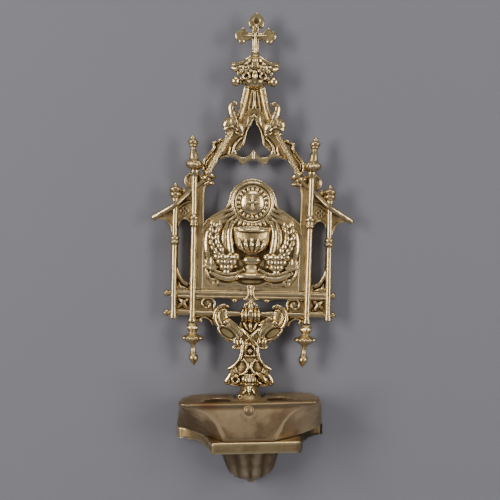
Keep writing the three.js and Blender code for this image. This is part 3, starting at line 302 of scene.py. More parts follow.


# One casting out of its modelled forms, in millimetres: run together, softened like worn metal,
# cut off at the wall, then brought to size. The hollows and the rubbed edges are kept for the finish,
# which paints the hollows dark as tarnish and as painted shade.
def cast(parts, grain=0.28, rubbed=3, dents=()):
    alone(*parts)
    bpy.context.view_layer.objects.active = parts[0]
    if len(parts) > 1:
        bpy.ops.object.join()
    piece = bpy.context.object
    bpy.ops.object.transform_apply(location=True, rotation=True, scale=True)
    melt = piece.modifiers.new("melt", "REMESH")
    melt.mode = "VOXEL"
    melt.voxel_size = grain
    bpy.ops.object.modifier_apply(modifier=melt.name)
    rub = piece.modifiers.new("rub", "SMOOTH")
    rub.factor = 0.5
    rub.iterations = rubbed
    bpy.ops.object.modifier_apply(modifier=rub.name)
    count = len(piece.data.vertices)
    place = np.empty(count * 3)
    piece.data.vertices.foreach_get("co", place)
    place = place.reshape(-1, 3)
    sunk = np.zeros(count)
    for x, z, wide, tall, turn, depth in dents:
        a = math.radians(turn)
        dx, dz = place[:, 0] - x, place[:, 2] - z
        far = ((dx * math.cos(a) - dz * math.sin(a)) / wide) ** 2 + ((dx * math.sin(a) + dz * math.cos(a)) / tall) ** 2
        front = place[:, 1] < np.median(place[:, 1])
        sunk += np.where(front, depth * np.clip(1 - far, 0, 1) ** 0.6, 0)
    place[:, 1] += sunk
    piece.data.vertices.foreach_set("co", place.ravel())
    piece.data.update()
    normal = np.empty(count * 3)
    piece.data.vertices.foreach_get("normal", normal)
    normal = normal.reshape(-1, 3)
    edge = np.empty(len(piece.data.edges) * 2, np.int32)
    piece.data.edges.foreach_get("vertices", edge)
    a, b = edge.reshape(-1, 2).T
    near = np.bincount(a, minlength=count) + np.bincount(b, minlength=count)
    soft = place.copy()
    hollow = np.zeros(count)
    for step in range(45):
        soft = np.stack([
            np.bincount(a, soft[b, k], count) + np.bincount(b, soft[a, k], count) for k in range(3)], 1)
        soft /= near[:, None]
        if step in (4, 14, 44):
            hollow += ((soft - place) * normal).sum(1)
    flat = np.clip(1 + 3 * hollow, 0, 1)
    uneven = 0.05 * np.sin(place @ (0.61, 0.83, 0.37)) * np.sin(place @ (-0.47, 0.31, 0.71) + 1.3)
    uneven += 0.035 * flat * np.sin(place @ (2.9, 1.7, 1.9)) * np.sin(place @ (-1.6, 2.3, 3.1) + 0.7)
    place = place + normal * uneven[:, None]
    place[:, 1] = np.minimum(place[:, 1], -0.05)
    piece.data.vertices.foreach_set("co", (place * 0.001).ravel())
    # the hollow measure, with the dents' depth added, is painted dark by the finish: tarnish and painted shade
    kept = piece.data.attributes.new("hollow", "FLOAT", "POINT")
    kept.data.foreach_set("value", np.clip(hollow / 0.55 + 0.3 * sunk, -1, 1).astype(np.float32))
    piece.data.update()
    bpy.ops.object.shade_smooth()
    return piece


def other_hand(piece):
    alone(piece)
    bpy.ops.object.duplicate()
    copy = bpy.context.object
    copy.scale.x = -1
    bpy.ops.object.transform_apply(location=True, rotation=True, scale=True)
    bpy.ops.object.mode_set(mode="EDIT")
    bpy.ops.mesh.select_all(action="SELECT")
    bpy.ops.mesh.normals_make_consistent(inside=False)
    bpy.ops.object.mode_set(mode="OBJECT")
    return copy


def fitted(piece, node, finish, body="back"):
    piece.name = "cast_" + node
    piece.data.materials.clear()
    piece.data.materials.append(finish)
    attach(piece, body)
    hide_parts(node)


def leaning(piece, share, start):
    for corner in piece.data.vertices:
        corner.co.x += share * (corner.co.z - start)


def fitted_pair(piece, node, finish):
    fitted(other_hand(piece), node + "_left", finish)
    fitted(piece, node + "_right", finish)


def brass_finish(name, bright, mid, cloud, dark, shine, mottle=140, stain_and_painted_light=None):
    brass = bpy.data.materials.new(name)
    brass.use_nodes = True
    nodes = brass.node_tree.nodes
    links = brass.node_tree.links
    skin = nodes["Principled BSDF"]
    skin.inputs["Metallic"].default_value = 1.0
    where = nodes.new("ShaderNodeTexCoord")
    deep = nodes.new("ShaderNodeAttribute")
    deep.attribute_name = "hollow"
    patches = nodes.new("ShaderNodeTexNoise")
    patches.inputs["Scale"].default_value = mottle
    patches.inputs["Detail"].default_value = 6
    patches.inputs["Roughness"].default_value = 0.62
    pits = nodes.new("ShaderNodeTexNoise")
    pits.inputs["Scale"].default_value = 1500
    pits.inputs["Detail"].default_value = 4
    for noise in (patches, pits):
        links.new(where.outputs["Object"], noise.inputs["Vector"])
    # depth in the hollow, broken up by the patches: hollows painted dark as tarnish and as painted shade
    broken = nodes.new("ShaderNodeMath")
    broken.operation = "MULTIPLY_ADD"
    links.new(patches.outputs["Fac"], broken.inputs[0])
    broken.inputs[1].default_value = 0.5
    links.new(deep.outputs["Fac"], broken.inputs[2])
    tarnish_and_shade = nodes.new("ShaderNodeMapRange")
    tarnish_and_shade.interpolation_type = "SMOOTHSTEP"
    links.new(broken.outputs["Value"], tarnish_and_shade.inputs["Value"])
    tarnish_and_shade.inputs["From Min"].default_value = 0.34
    tarnish_and_shade.inputs["From Max"].default_value = 1.0
    rubbed = nodes.new("ShaderNodeMapRange")
    rubbed.interpolation_type = "SMOOTHSTEP"
    links.new(broken.outputs["Value"], rubbed.inputs["Value"])
    rubbed.inputs["From Min"].default_value = 0.18
    rubbed.inputs["From Max"].default_value = -0.25
    drift = nodes.new("ShaderNodeMapRange")
    drift.interpolation_type = "SMOOTHSTEP"
    links.new(patches.outputs["Fac"], drift.inputs["Value"])
    drift.inputs["From Min"].default_value = 0.4
    drift.inputs["From Max"].default_value = 0.62
    clouded = nodes.new("ShaderNodeMix")
    clouded.data_type = "RGBA"
    links.new(drift.outputs["Result"], clouded.inputs["Factor"])
    clouded.inputs["A"].default_value = (*mid, 1)
    clouded.inputs["B"].default_value = (*cloud, 1)
    edges = nodes.new("ShaderNodeMix")
    edges.data_type = "RGBA"
    links.new(rubbed.outputs["Result"], edges.inputs["Factor"])
    links.new(clouded.outputs["Result"], edges.inputs["A"])
    edges.inputs["B"].default_value = (*bright, 1)
    sunk = nodes.new("ShaderNodeMix")
    sunk.data_type = "RGBA"
    links.new(tarnish_and_shade.outputs["Result"], sunk.inputs["Factor"])
    links.new(edges.outputs["Result"], sunk.inputs["A"])
    sunk.inputs["B"].default_value = (*dark, 1)
    colour = sunk.outputs["Result"]
    # colour overlays given per finish: stains and painted light and shade
    if stain_and_painted_light:
        colour = stain_and_painted_light(nodes, links, where, colour)
    links.new(colour, skin.inputs["Base Color"])
    dull = nodes.new("ShaderNodeMapRange")
    links.new(broken.outputs["Value"], dull.inputs["Value"])
    dull.inputs["From Min"].default_value = -0.2
    dull.inputs["From Max"].default_value = 0.8
    dull.inputs["To Min"].default_value = shine
    dull.inputs["To Max"].default_value = shine + 0.34
    links.new(dull.outputs["Result"], skin.inputs["Roughness"])
    waves = nodes.new("ShaderNodeTexNoise")
    waves.inputs["Scale"].default_value = 420
    waves.inputs["Detail"].default_value = 2
    links.new(where.outputs["Object"], waves.inputs["Vector"])
    under = None
    for noise, strength, height in ((waves, 0.22, 0.0004), (pits, 0.3, 0.0002)):
        relief = nodes.new("ShaderNodeBump")
        relief.inputs["Strength"].default_value = strength
        relief.inputs["Distance"].default_value = height
        links.new(noise.outputs["Fac"], relief.inputs["Height"])
        if under:
            links.new(under, relief.inputs["Normal"])
        under = relief.outputs["Normal"]
    links.new(under, skin.inputs["Normal"])
    return brass


worn_brass = brass_finish(
    "worn_brass", (0.75, 0.59, 0.325), (0.54, 0.41, 0.21), (0.38, 0.28, 0.135), (0.07, 0.045, 0.02), 0.2)
rod_brass = brass_finish(
    "rod_brass", (0.58, 0.455, 0.255), (0.56, 0.43, 0.23), (0.44, 0.328, 0.168), (0.09, 0.06, 0.027), 0.29)
plaque_brass = brass_finish(
    "plaque_brass", (0.82, 0.65, 0.37), (0.62, 0.475, 0.25), (0.45, 0.335, 0.165), (0.09, 0.06, 0.027), 0.22)

shoulder = smooth_line([(28.4, 15), (27.8, 17.6), (24.4, 21.6), (19.4, 25), (14.8, 28.2), (12.9, 32)], 4)
crown = [(13 * math.sin(a), 31 + 13 * math.cos(a)) for a in np.linspace(1.45, 0, 14)]
half = [(28.4, -18.8)] + shoulder + crown
field = half + [(-x, z) for x, z in half[::-1][1:]]
relief = [plate([field], -3.2, 3.6, 0.3)]
relief.append(rod([(x, 3.4, z) for x, z in field[4:-4:2]], 0.65))
relief.append(ball(0, 1.2, 3, 20, (1.2, 0.14, 0.95)))
relief.append(ring(0, 3.7, 31, 11.4, 0.6))
relief.append(ring(0, 3.6, 31, 9.4, 0.4))
relief.append(ball(0, 3.0, 31, 7.4, (1, 0.42, 1)))
for k in range(20):
    a = k * math.pi / 10
    relief.append(rod(
        [(7.4 * math.sin(a), 3.7, 31 + 7.4 * math.cos(a)), (9.2 * math.sin(a), 3.5, 31 + 9.2 * math.cos(a))],
        [0.8, 0.5]))
for k in range(15):
    a = math.radians(108 + 144 * k / 14)
    far = 21 if k % 2 else 18
    relief.append(rod(
        [(12.2 * math.sin(a), 3.5, 31 + 12.2 * math.cos(a)), (far * math.sin(a), 3.5, 31 + far * math.cos(a))],
        [0.9, 0.4]))
relief.append(rod([(0, 5.6, 27.2), (0, 6.1, 31), (0, 5.6, 34.8)], 0.75))
relief.append(rod([(-3.8, 5.6, 31), (0, 6.1, 31), (3.8, 5.6, 31)], 0.75))
cup = turned(
    [(0, 0), (9.6, 0), (10.2, 1), (9.2, 2.2), (5.8, 3.4), (3.8, 5.2), (3.2, 7.6), (4.8, 8.8), (5.6, 10.2), (4.8, 11.6),
     (3.2, 12.6), (4.6, 14), (8, 16), (10, 19.4), (10.7, 24), (11.2, 28.4), (10.6, 29.2), (0, 29.4)], 0, 3.0, -11.8)
cup.scale = (1, 0.52, 1)
relief.append(cup)
for x in (-7.2, -3.7, 0, 3.7, 7.2):
    bow = math.sqrt(max(0, 1 - (x / 10.6) ** 2))
    relief.append(rod(
        [(x * 0.5, 3.0 + 3.2 * bow, 3.2), (x * 0.9, 3.0 + 5.0 * bow, 6.6), (x, 3.1 + 5.3 * bow, 10.6)], [0.8, 1.4, 0.5]))
relief.append(rod([(-10.6, 3.4, 15.6), (-6.4, 7.4, 15.3), (0, 8.8, 15.2), (6.4, 7.4, 15.3), (10.6, 3.4, 15.6)], 0.85))
for side in (-1, 1):
    # the veil behind the cup, a full fall of cloth in five rounded folds
    for k in range(5):
        rim = 10.8 + 3.0 * k
        hem = 9.6 + 3.3 * k
        swell = 3.9 - 0.25 * k
        relief.append(rod(
            [(side * rim, swell - 1.2, 20.4 - 0.7 * k), (side * (rim + 2.0), swell, 13.4),
             (side * (hem + 2.4), swell + 0.2, 5), (side * hem, swell - 0.8, -6)],
            [1.3, 1.9, 2.3, 1.7]))
    # one full ear of wheat laid over the veil
    stalk = smooth_line([(11, -3), (17.4, 2), (21.4, 9.4), (20.6, 19.6)], 6)
    relief.append(rod([(side * x, 6.0, z) for x, z in stalk[::4]], 0.8))
    ear = stalk[7::2]
    for k, (x, z) in enumerate(ear):
        ahead = ear[min(k + 1, len(ear) - 1)]
        behind = ear[max(k - 1, 0)]
        turn = math.degrees(math.atan2(ahead[0] - behind[0], ahead[1] - behind[1]))
        for splay in (-1, 1):
            relief.append(ball(
                side * (x + splay * 1.7 * math.cos(math.radians(turn))), 6.4,
                z - splay * 1.7 * math.sin(math.radians(turn)), 2.4, (0.62, 0.6, 1.0), side * (turn + splay * 24)))
    # a cluster of grapes low at each side, with a vine leaf outside it
    for row in range(4):
        for k in range(4 - row):
            relief.append(ball(
                side * (14.2 + (k - (3 - row) / 2) * 3.6), 5.6 - row * 0.4, 0.2 - row * 2.9, 2.15, (1, 0.9, 1)))
    for turn, size in ((-64, 0.8), (-32, 1.0), (4, 1.15), (40, 1.0), (76, 0.8)):
        a = math.radians(turn)
        relief.append(ball(
            side * (22 + 3.2 * size * math.sin(a)), 3.6, -6.6 + 3.2 * size * math.cos(a), 3.6 * size,
            (0.46, 0.4, 1), side * turn))
        relief.append(rod(
            [(side * 22, 4.8, -7.4), (side * (22 + 5.8 * size * math.sin(a)), 4.2, -6.8 + 5.8 * size * math.cos(a))],
            [0.5, 0.35]))
    # cloth gathered under the cup in two hanging swags
    for top, low, wide in ((-8.6, -12.2, 1.5), (-6.0, -9.8, 1.2)):
        relief.append(rod(
            [(side * 4, 4.4, top - 0.6), (side * 11, 4.4, low), (side * 18, 4.0, low + 0.8), (side * 23.6, 3.6, top)],
            [wide * 0.7, wide, wide, wide * 0.6]))
    # lobed moulding round the foot of the field, in two lines with a curl in the corner
    lobes = smooth_line(
        [(26, -2), (25.4, -9), (22.8, -12.8), (19.6, -13), (17.8, -14.8), (13, -15.4), (9, -14.4), (5, -15.8), (0, -16.2)], 4)
    relief.append(rod([(side * x, 3.7, z) for x, z in lobes], 0.65))
    relief.append(rod([(side * x * 0.97, 3.6, z - 1.4) for x, z in lobes[4:]], 0.4))
    relief.append(rod(
        [(side * 18.2, 3.7, -14), (side * 19.6, 3.8, -15.6), (side * 21.4, 3.8, -15.2), (side * 20.9, 3.8, -14.2)],
        [0.6, 0.6, 0.5, 0.4]))
fitted(cast(relief, 0.34, 1), "relief_plaque", plaque_brass)


# Rails: two bars behind the columns with small knobs at the ends. The upper one is a flat moulding under
# the plaque with a roll along each edge, and has two little cusps underneath.
for node, z, thick in (("upper_rail", -21, 1.5), ("lower_rail", -32.2, 1.5)):
    bar = [turned(
        [(0, -49.4), (1.3, -49.3), (2.0, -48.5), (2.0, -47.2), (1.4, -46.4), (thick * 0.9, -45.6), (thick, -43),
         (thick, 42), (thick * 0.9, 44.6), (1.4, 45.4), (2.0, 46.1), (2.0, 47.3), (1.3, 48.1), (0, 48.2)],
        0, 3.4, z, 28, lying=True)]
    if node == "upper_rail":
        bar.append(plate([[(-42.6, z - 2.3), (42.6, z - 2.3), (42.6, z + 2.0), (-42.6, z + 2.0)]], 1.8, 4.4, 0.5))
        bar.append(rod([(-41.6, 4.2, z - 1.9), (41.6, 4.2, z - 1.9)], 0.7))
        bar.append(rod([(-41.6, 4.1, z + 1.6), (41.6, 4.1, z + 1.6)], 0.45))
        for x in (-9.2, 9.2):
            bar.append(rod(
                [(x - 4.6, 3.4, z - 2.4), (x - 1.8, 3.4, z - 2.9), (x, 3.4, z - 4.3), (x + 1.8, 3.4, z - 2.9), (x + 4.6, 3.4, z - 2.4)],
                [0.5, 0.6, 0.75, 0.6, 0.5]))
            bar.append(ball(x, 3.4, z - 3.4, 1.0))
    else:
        for side in (-1, 1):
            bar.append(rod([(side * 22, 3.6, z), (side * 41.6, 3.6, z)], 1.5))
            bar.append(rod([(side * 31, 4.2, z + 1.3), (side * 41.6, 4.2, z + 1.3)], 0.45))
            bar.append(rod([(side * 6, 3.8, z), (side * 13, 3.9, z)], [1.5, 1.9]))
    fitted(cast(bar, 0.28, 2), node, rod_brass)


# Inner columns: slim shafts with a ringed collar, each cast with the flat jamb strip that frames the
# plaque, its beaded corbel at the top and a spoon-shaped leaf on the outer side under the pinnacle.
shaft = [turned(
    [(0, -37), (2.2, -37), (2.5, -36.4), (2.2, -35.4), (1.75, -34), (1.7, 16.8), (2.5, 17.4), (2.7, 18.2), (2.3, 18.9),
     (2.3, 20.6), (2.8, 21.3), (2.8, 22.3), (2.1, 23.2), (1.75, 24), (1.7, 45), (2.5, 47.4), (2.7, 49), (0, 49)],
    33, 6.2, 0, 28)]
inside = smooth_line([(27.6, 33), (27.3, 37), (26.2, 39.8), (23.4, 40.8)], 4)
jamb = [(27.6, -18.6), (27.6, 33)] + inside[1:] + [(23.2, 42.6), (25.2, 43.6), (28, 45), (30, 47.2), (34, 47.4), (34, -18.6)]
shaft.append(plate([jamb], 0.5, 3.8, 0.3))
shaft.append(rod([(28.1, 3.7, 13), (28.1, 3.7, 33)] + [(x + 0.5, 3.8, z + 0.4) for x, z in inside[1::2]], 0.5))
shaft.append(rod([(27.4, 4.2, 41), (25.2, 4.6, 42), (23.4, 4.8, 41.8)], [0.8, 1.0, 1.0]))
shaft.append(ball(23.0, 4.8, 41.8, 1.35))
shaft.append(plate([[(31.2, -36.4), (34.6, -36.4), (34.6, 46), (31.2, 46)]], 0.6, 5.6, 0.4))
spoon = smooth_line([(34.4, 38.6), (36.4, 39.2), (37.9, 40.4), (38.7, 42.2), (38.4, 44.4), (37.2, 46), (35.8, 47), (34.4, 46.6)], 3)
shaft.append(plate([spoon], 1.8, 4.4, 0.5))
shaft.append(rod([(x - 0.3, 4.4, z) for x, z in spoon[3:-2:2]], 0.75))
shaft.append(ball(36.9, 4.0, 41.6, 1.5, (0.8, 0.7, 1.5), -8))
fitted_pair(cast(shaft, 0.29, 2), "inner_column", rod_brass)
leaning(bpy.data.objects["cast_inner_column_right"], 0.018, 0.035)


# Inner pinnacles: turned finials with a wide collar, a slim waist and a ringed bud.
bud = [turned(
    [(0, 0), (2.6, 0), (3.4, 0.3), (4.3, 1.1), (4.7, 2.2), (4.7, 3.2), (4.2, 4.3), (3.2, 5), (2.7, 5.4), (2.6, 6.6),
     (2.2, 9), (1.6, 11.4), (1.5, 12.4), (2.3, 12.9), (2.4, 13.4), (2.1, 13.8), (2.9, 14.5), (3.1, 15.4), (2.8, 16.2), (1.9, 16.8),
     (1.4, 17.2), (1.6, 17.9), (1.2, 18.8), (0, 19.5)], 33, 6.2, 49.3, 28)]
for k in range(8):
    a = k * math.pi / 4
    bud.append(ball(33 + 3.9 * math.sin(a), 6.2 + 3.9 * math.cos(a), 52, 1.4, (1, 1, 1.2)))
bud = cast(bud, 0.22, 1)
leaning(bud, 0.085, 0.0493)
fitted_pair(bud, "inner_finial", rod_brass)
leaning(bpy.data.objects["cast_inner_finial_right"], 0.018, 0.035)


# Outer columns: plain shafts with a double ring half way up, standing in front of the eaves.
post = [turned(
    [(0, -35.3), (1.9, -35.3), (2.2, -34.6), (1.9, -33.6), (1.6, -30), (1.6, 6.6), (2.6, 7.2), (2.8, 8.2), (2.2, 8.8),
     (2.2, 9.3), (2.8, 9.9), (2.6, 10.9), (1.6, 11.6), (1.55, 29), (2, 30.6), (0, 30.6)], 43.7, 6.0, 0, 28)]
post.append(plate([[(41.9, -34), (45.5, -34), (45.5, 30), (41.9, 30)]], 0.6, 5.2, 0.4))
post.append(rod([(42.3, 5.0, -33), (42.3, 5.0, 29)], 0.5))
fitted_pair(cast(post, 0.29, 2), "outer_column", rod_brass)


# Outer pinnacles: short turned buds on the outer columns.
tip = [turned(
    [(0, 0), (2.0, 0), (2.0, 2), (2.9, 2.6), (3.6, 3.6), (3.6, 4.4), (2.9, 5), (2.7, 5.4), (3.4, 5.9), (3.7, 6.7),
     (3.4, 7.6), (2.4, 8.3), (1.2, 8.7), (1.0, 9.2), (1.3, 9.7), (0.9, 10.4), (0, 10.8)], 43.7, 6.0, 31.0, 28)]
fitted_pair(cast(tip, 0.22, 1), "outer_finial", rod_brass)


# Eave rods: round bars sloping out from the gable's feet, behind the inner columns and over the outer
# ones, with a knee there.
bar = [rod(
    [(26.4, 4.6, 44.4), (33, 4.9, 38.9), (38.4, 5.8, 34), (43.6, 7.2, 29), (49, 6.2, 25.6), (56, 4.6, 21.5)],
    [1.3, 1.45, 1.55, 1.6, 1.65, 1.7])]
bar.append(ball(55.8, 4.6, 21.6, 1.72, (0.95, 1, 1)))
fitted_pair(cast(bar, 0.24, 1), "eave_rod", rod_brass)


# Side panels: pierced plates between the columns under the eaves, arched below, with a four-lobed hole.
def eave_height(x):
    return 44.5 - 23.3 * (x - 26.1) / 30.1


lower = smooth_line([(34, 16.6), (34.8, 18.8), (36.4, 20.6), (38.6, 21.4), (40.6, 20.4), (41.8, 18.6), (42.6, 16)], 4)
sheet = lower + [(43.5, 16.4), (43.5, eave_height(43.5) - 0.4), (33.5, eave_height(33.5) - 0.4), (33.5, 16.4)]
panel = [plate([sheet], 0.7, 3.6, 0.35)]
panel.append(rod([(x, 3.5, z) for x, z in lower[::2]], 0.55))
for dx, dz in ((1.35, 0), (-1.35, 0), (0, 1.35), (0, -1.35)):
    panel.append(ring(38.6 + dx, 3.6, 25.8 + dz, 1.0, 0.35))
panel.append(rod([(34.8, 3.5, 31.2), (38.4, 3.7, 30.4), (42.2, 3.5, 27.4)], 0.45))
crest = smooth_line([(35.4, 37.6), (37, 38), (39.2, 38.8), (40.8, 38), (42.2, 35.6), (43.4, 33.4)], 3)
panel.append(plate([crest + [(43.4, 30.4), (35.4, 36.6)]], 0.7, 3.8, 0.35))
panel.append(ball(39.2, 3.7, 36.4, 1.2, (1, 0.5, 1)))
fitted_pair(cast(panel, 0.23, 1), "side_panel", rod_brass)


# Eave brackets: little leaf brackets under the ends of the eaves.
def along(x, drop):
    return (x, eave_height(x) - drop)


wing = smooth_line([(45.2, 13.6), (46, 16.4), (47.4, 19), (49.6, 20.8), (52.4, 21.4), (54.4, 21.2)], 4)
panel = [plate([wing + [(54.4, 22.4), along(46, 0), along(44.4, 0), (44.4, 13.6)]], 0.7, 4.2, 0.35)]
panel.append(rod([(x, 4.0, z) for x, z in wing[::3]], 0.6))
fitted_pair(cast(panel, 0.24, 1), "eave_bracket", worn_brass)


# Arch braces: curved ribs from the outer to the inner columns, with a leafed spandrel down to the rail.
rise = smooth_line([(42.4, 0), (42.2, -5.6), (40.6, -10.4), (37.6, -14.2), (34, -16)], 5)
panel = [plate([rise + [(32.4, -16.4), (32.4, -20.6), (44.6, -20.6), (44.6, 0)]], 0.7, 3.2, 0.3)]
panel.append(rod([(x + 0.5, 4.2, z - 0.6) for x, z in rise[::3]], 1.2))
panel.append(rod([(43, 3.2, -18.8), (40.9, 3.6, -17.4), (41.0, 3.5, -14.4)], [0.9, 1.3, 0.5]))
panel.append(rod([(42, 3.2, -19.2), (39, 3.6, -18), (35.8, 3.4, -18.6)], [0.9, 1.3, 0.5]))
panel.append(ball(42.4, 3.2, -18.8, 1.5, (1, 0.7, 1)))
fitted_pair(cast(panel, 0.24, 1), "arch_brace", rod_brass)


# Rail panels: the squares between rails and columns, each filled with a small four-leafed flower.
panel = [plate([[(32.2, -31.4), (43.2, -31.4), (43.2, -21.8), (32.2, -21.8)]], 0.7, 3.2, 0.3)]
panel.append(rod([(35, 3.2, -30), (37, 4.0, -28.4), (38.6, 4.2, -26), (41.4, 3.6, -24)], [0.7, 1.2, 1.2, 0.6]))
panel.append(rod([(41.6, 3.2, -29.6), (40.2, 3.8, -27.8), (38.4, 4.0, -27)], [0.6, 1.1, 0.8]))
panel.append(rod([(35.4, 3.2, -23.6), (36.6, 3.8, -25.2), (38.4, 4.0, -26.2)], [0.6, 1.1, 0.8]))
panel.append(ball(38.5, 3.9, -26.5, 1.2))
fitted_pair(cast(panel, 0.23, 1), "rail_panel", rod_brass)


# Volutes: open spiral scrolls between the rails beside the inner columns, with a double arch moulding
# under the rail, on a web that carries them.
coil = [(20.9, 3.6, -33.4), (20.1, 3.8, -31)]
for s in np.linspace(0, 1, 22):
    a = math.radians(207 - 490 * s)
    wide = 4.4 - 3.7 * s
    coil.append((24.7 + wide * math.cos(a), 4.0 + 0.5 * s, -26.9 + wide * math.sin(a)))
foot_arch = smooth_line([(31, -37), (28.8, -35.4), (26.3, -34.6), (24.2, -35.1), (22.5, -36.5), (21.2, -38.8)], 4)
web = [(32, -23), (21.2, -23.2), (20, -26), (19.8, -31), (19.8, -36)] + foot_arch[::-1] + [(32, -36.6)]
panel = [plate([web], 1.4, 3.3, 0.3)]
panel.append(rod(coil, [0.6, 0.7] + [0.75 - 0.15 * s for s in np.linspace(0, 1, 22)]))
panel.append(rod([(x, 3.7, z) for x, z in foot_arch[::2]], 0.6))
panel.append(rod([(31, 3.5, -34.4), (28.2, 3.7, -33.6), (25.3, 3.7, -33.3), (22.6, 3.7, -33.9)], 0.5))
panel.append(rod([(29.4, 3.8, -35.6), (28.2, 4.2, -36.4), (27.7, 4.2, -37.6)], [0.7, 1.0, 0.6]))
panel.append(rod([(31.2, 3.4, -24), (28.8, 3.6, -23.6)], 0.5))
fitted_pair(cast(panel, 0.21, 1), "volute", worn_brass)


# Sill clasp: a waisted leaf over the middle of the upper rail, with a rib down its centre.
waist = smooth_line(
    [(2.2, -16), (1.7, -18), (1.5, -20.6), (2.0, -22.6), (4.4, -23.8), (0, -24.8), (-4.4, -23.8), (-2.0, -22.6),
     (-1.5, -20.6), (-1.7, -18), (-2.2, -16), (0, -15.6)], 4, closed=True)
clip = [plate([waist], 2.1, 6.4, 0.7)]
clip.append(rod([(0, 6.2, -16.4), (0, 6.8, -19.6), (0, 6.6, -22.4), (0, 6.2, -24.2)], [0.5, 0.6, 0.6, 0.7]))
for side in (-1, 1):
    clip.append(rod(
        [(side * 1.9, 6.0, -16.2), (side * 1.35, 6.3, -20.4), (side * 1.8, 6.1, -22.4), (side * 4.4, 5, -23.6)],
        [0.5, 0.5, 0.5, 0.5]))
clip.append(ball(0, 6.0, -25.2, 1.1))
fitted(cast(clip, 0.22, 1), "sill_clasp", worn_brass)


# Rail knuckle: a banded drum on the lower rail, its neck up to the clasp and a leaf hanging under it.
drum = [turned(
    [(0, -5.4), (3.4, -5.4), (4.3, -5.0), (4.4, -4.3), (3.9, -3.9), (3.6, -3.6), (4.3, -3.2), (4.6, -2.7), (4.4, -2.2),
     (3.7, -1.9), (3.8, -1.6), (4.4, -1.3), (4.6, 0), (4.4, 1.3), (3.8, 1.6), (3.7, 1.9), (4.4, 2.2), (4.6, 2.7),
     (4.3, 3.2), (3.6, 3.6), (3.9, 3.9), (4.4, 4.3), (4.3, 5.0), (3.4, 5.4), (0, 5.4)],
    0, 4.2, -32.7, 36, lying=True)]
drum.append(rod([(0, 4.2, -29.4), (0, 4.4, -27), (0, 4.2, -25.4)], [2.4, 1.6, 1.9]))
drum.append(rod([(0, 4.6, -36.6), (0, 5.2, -39.4), (0, 5.0, -42.6)], [0.9, 1.1, 0.5]))
spread = [
    (-4.6, -33), (12.4, -33), (13.2, -35.4), (9.4, -38.6), (7, -44), (5.4, -49.4), (-5.4, -49.4), (-7, -44), (-6.2, -38.8)]
drum.append(plate([spread], 1.4, 3.2, 0.4))
drum.append(rod([(5.4, 3.6, -37), (8.4, 4.4, -35.8), (11.2, 4.4, -34.6), (12.6, 4.0, -35.6)], [0.8, 1.2, 1.2, 0.7]))
drum.append(rod([(4.6, 3.4, -38.6), (7.4, 4.0, -37.8), (9.8, 3.8, -37)], [0.6, 0.9, 0.6]))
drum.append(plate([smooth_line([(-4.2, -36), (4.2, -36), (3.2, -39.4), (0, -43), (-3.2, -39.4)], 4, closed=True)], 2.4, 4.6, 0.5))
for side in (-1, 1):
    drum.append(rod([(side * 3.6, 4.4, -37), (side * 2.9, 4.6, -39.4), (side * 0.8, 4.6, -42)], [0.45, 0.5, 0.4]))
    drum.append(rod([(side * 1.8, 4.6, -25.8), (side * 2.9, 4.8, -26.8), (side * 3.6, 4.6, -28.8)], [0.7, 0.9, 0.7]))
fitted(cast(drum, 0.22, 1), "rail_knuckle", worn_brass)


# Bracket straps: C-scrolls that grip the lower rail and run on as ribbons with a hollow lens to bright
# bulbs beside the stem. The left one crosses in front of the right one.
def strap(out):
    parts = [rod(
        [(12.2, 4.8, -28.2), (15, 5.2, -27.3), (18.3, 5.6, -29.1), (20.1, 5.8, -32.4), (19.9, 5.8, -36.4), (17.6, 5.6, -40)],
        [0.7, 1.0, 1.2, 1.25, 1.2, 1.0])]
    parts.append(rod(
        [(13.6, 5.8, -30), (16.4, 6.2, -30.4), (17.9, 6.4, -33), (17.6, 6.4, -36), (16, 6.4, -38)],
        [0.6, 0.75, 0.8, 0.8, 0.6]))
    parts.append(ball(16.4, 3.4, -33.4, 5.0, (0.84, 0.4, 1.1)))
    parts.append(ball(13.8, 6.6, -36.6, 1.5, (1.15, 0.9, 0.9), 25))
    parts.append(rod(
        [(13.4, out - 0.4, -36), (10.4, out, -38.4), (7.6, out, -41.2), (5.4, out, -45)], [1.9, 2.2, 2.3, 1.8]))
    parts.append(rod([(11.8, out + 1.2, -35.2), (9, out + 1.5, -37.2), (6, out + 1.5, -40.2), (4.2, out + 1, -44)], 0.55))
    parts.append(rod([(13.2, out + 1.2, -38.6), (11.0, out + 1.3, -40.6), (8.6, out + 1.3, -43), (6.8, out + 1, -46)], 0.6))
    lens = [
        (12.8 + 5.8 * math.cos(a) * 0.848 - 2.9 * math.sin(a) * 0.53, -43 + 5.8 * math.cos(a) * 0.53 + 2.9 * math.sin(a) * 0.848)
        for a in np.linspace(0, 2 * math.pi, 24, endpoint=False)]
    parts.append(plate([lens], out - 1.2, out + 0.6, 0.2))
    parts.append(rod([(x, out + 0.8, z) for x, z in lens[::2]], 0.65, closed=True))
    for x, z in ((15.6, -45), (13.6, -46.6), (11.4, -47.8)):
        parts.append(ball(x, out + 0.2, z, 1.0, (1.2, 0.8, 0.8), -30))
    parts.append(ball(8.0, out + 1.2, -48.2, 1, (1.7, 1.4, 3.0), 14))
    parts.append(ball(4.8, out + 1.4, -48.2, 1, (1.4, 1.4, 2.8), 6))
    parts.append(rod([(9.8, out + 0.4, -50.4), (8.2, out + 1.2, -51.6), (6, out + 1.4, -51.6), (4.4, out + 1, -51)], 0.7))
    for shift in (-0.8, 0.8):
        parts.append(rod(
            [(4.2 + shift * 0.7, out + 1.0, -41 + shift * 0.7), (1.5 + shift * 0.7, out + 2.4, -43.6 + shift * 0.7),
             (-1.5 + shift * 0.7, out + 3.6, -46.6 + shift * 0.7), (-4.2 + shift * 0.7, out + 3.6, -49.8 + shift * 0.7)],
            [0.7, 0.85, 0.85, 0.7]))
    return cast(parts, 0.22, 1)


fitted(strap(2.4), "bracket_strap_right", worn_brass)
pattern = strap(5.4)
fitted(other_hand(pattern), "bracket_strap_left", worn_brass)
bpy.data.objects.remove(pattern)


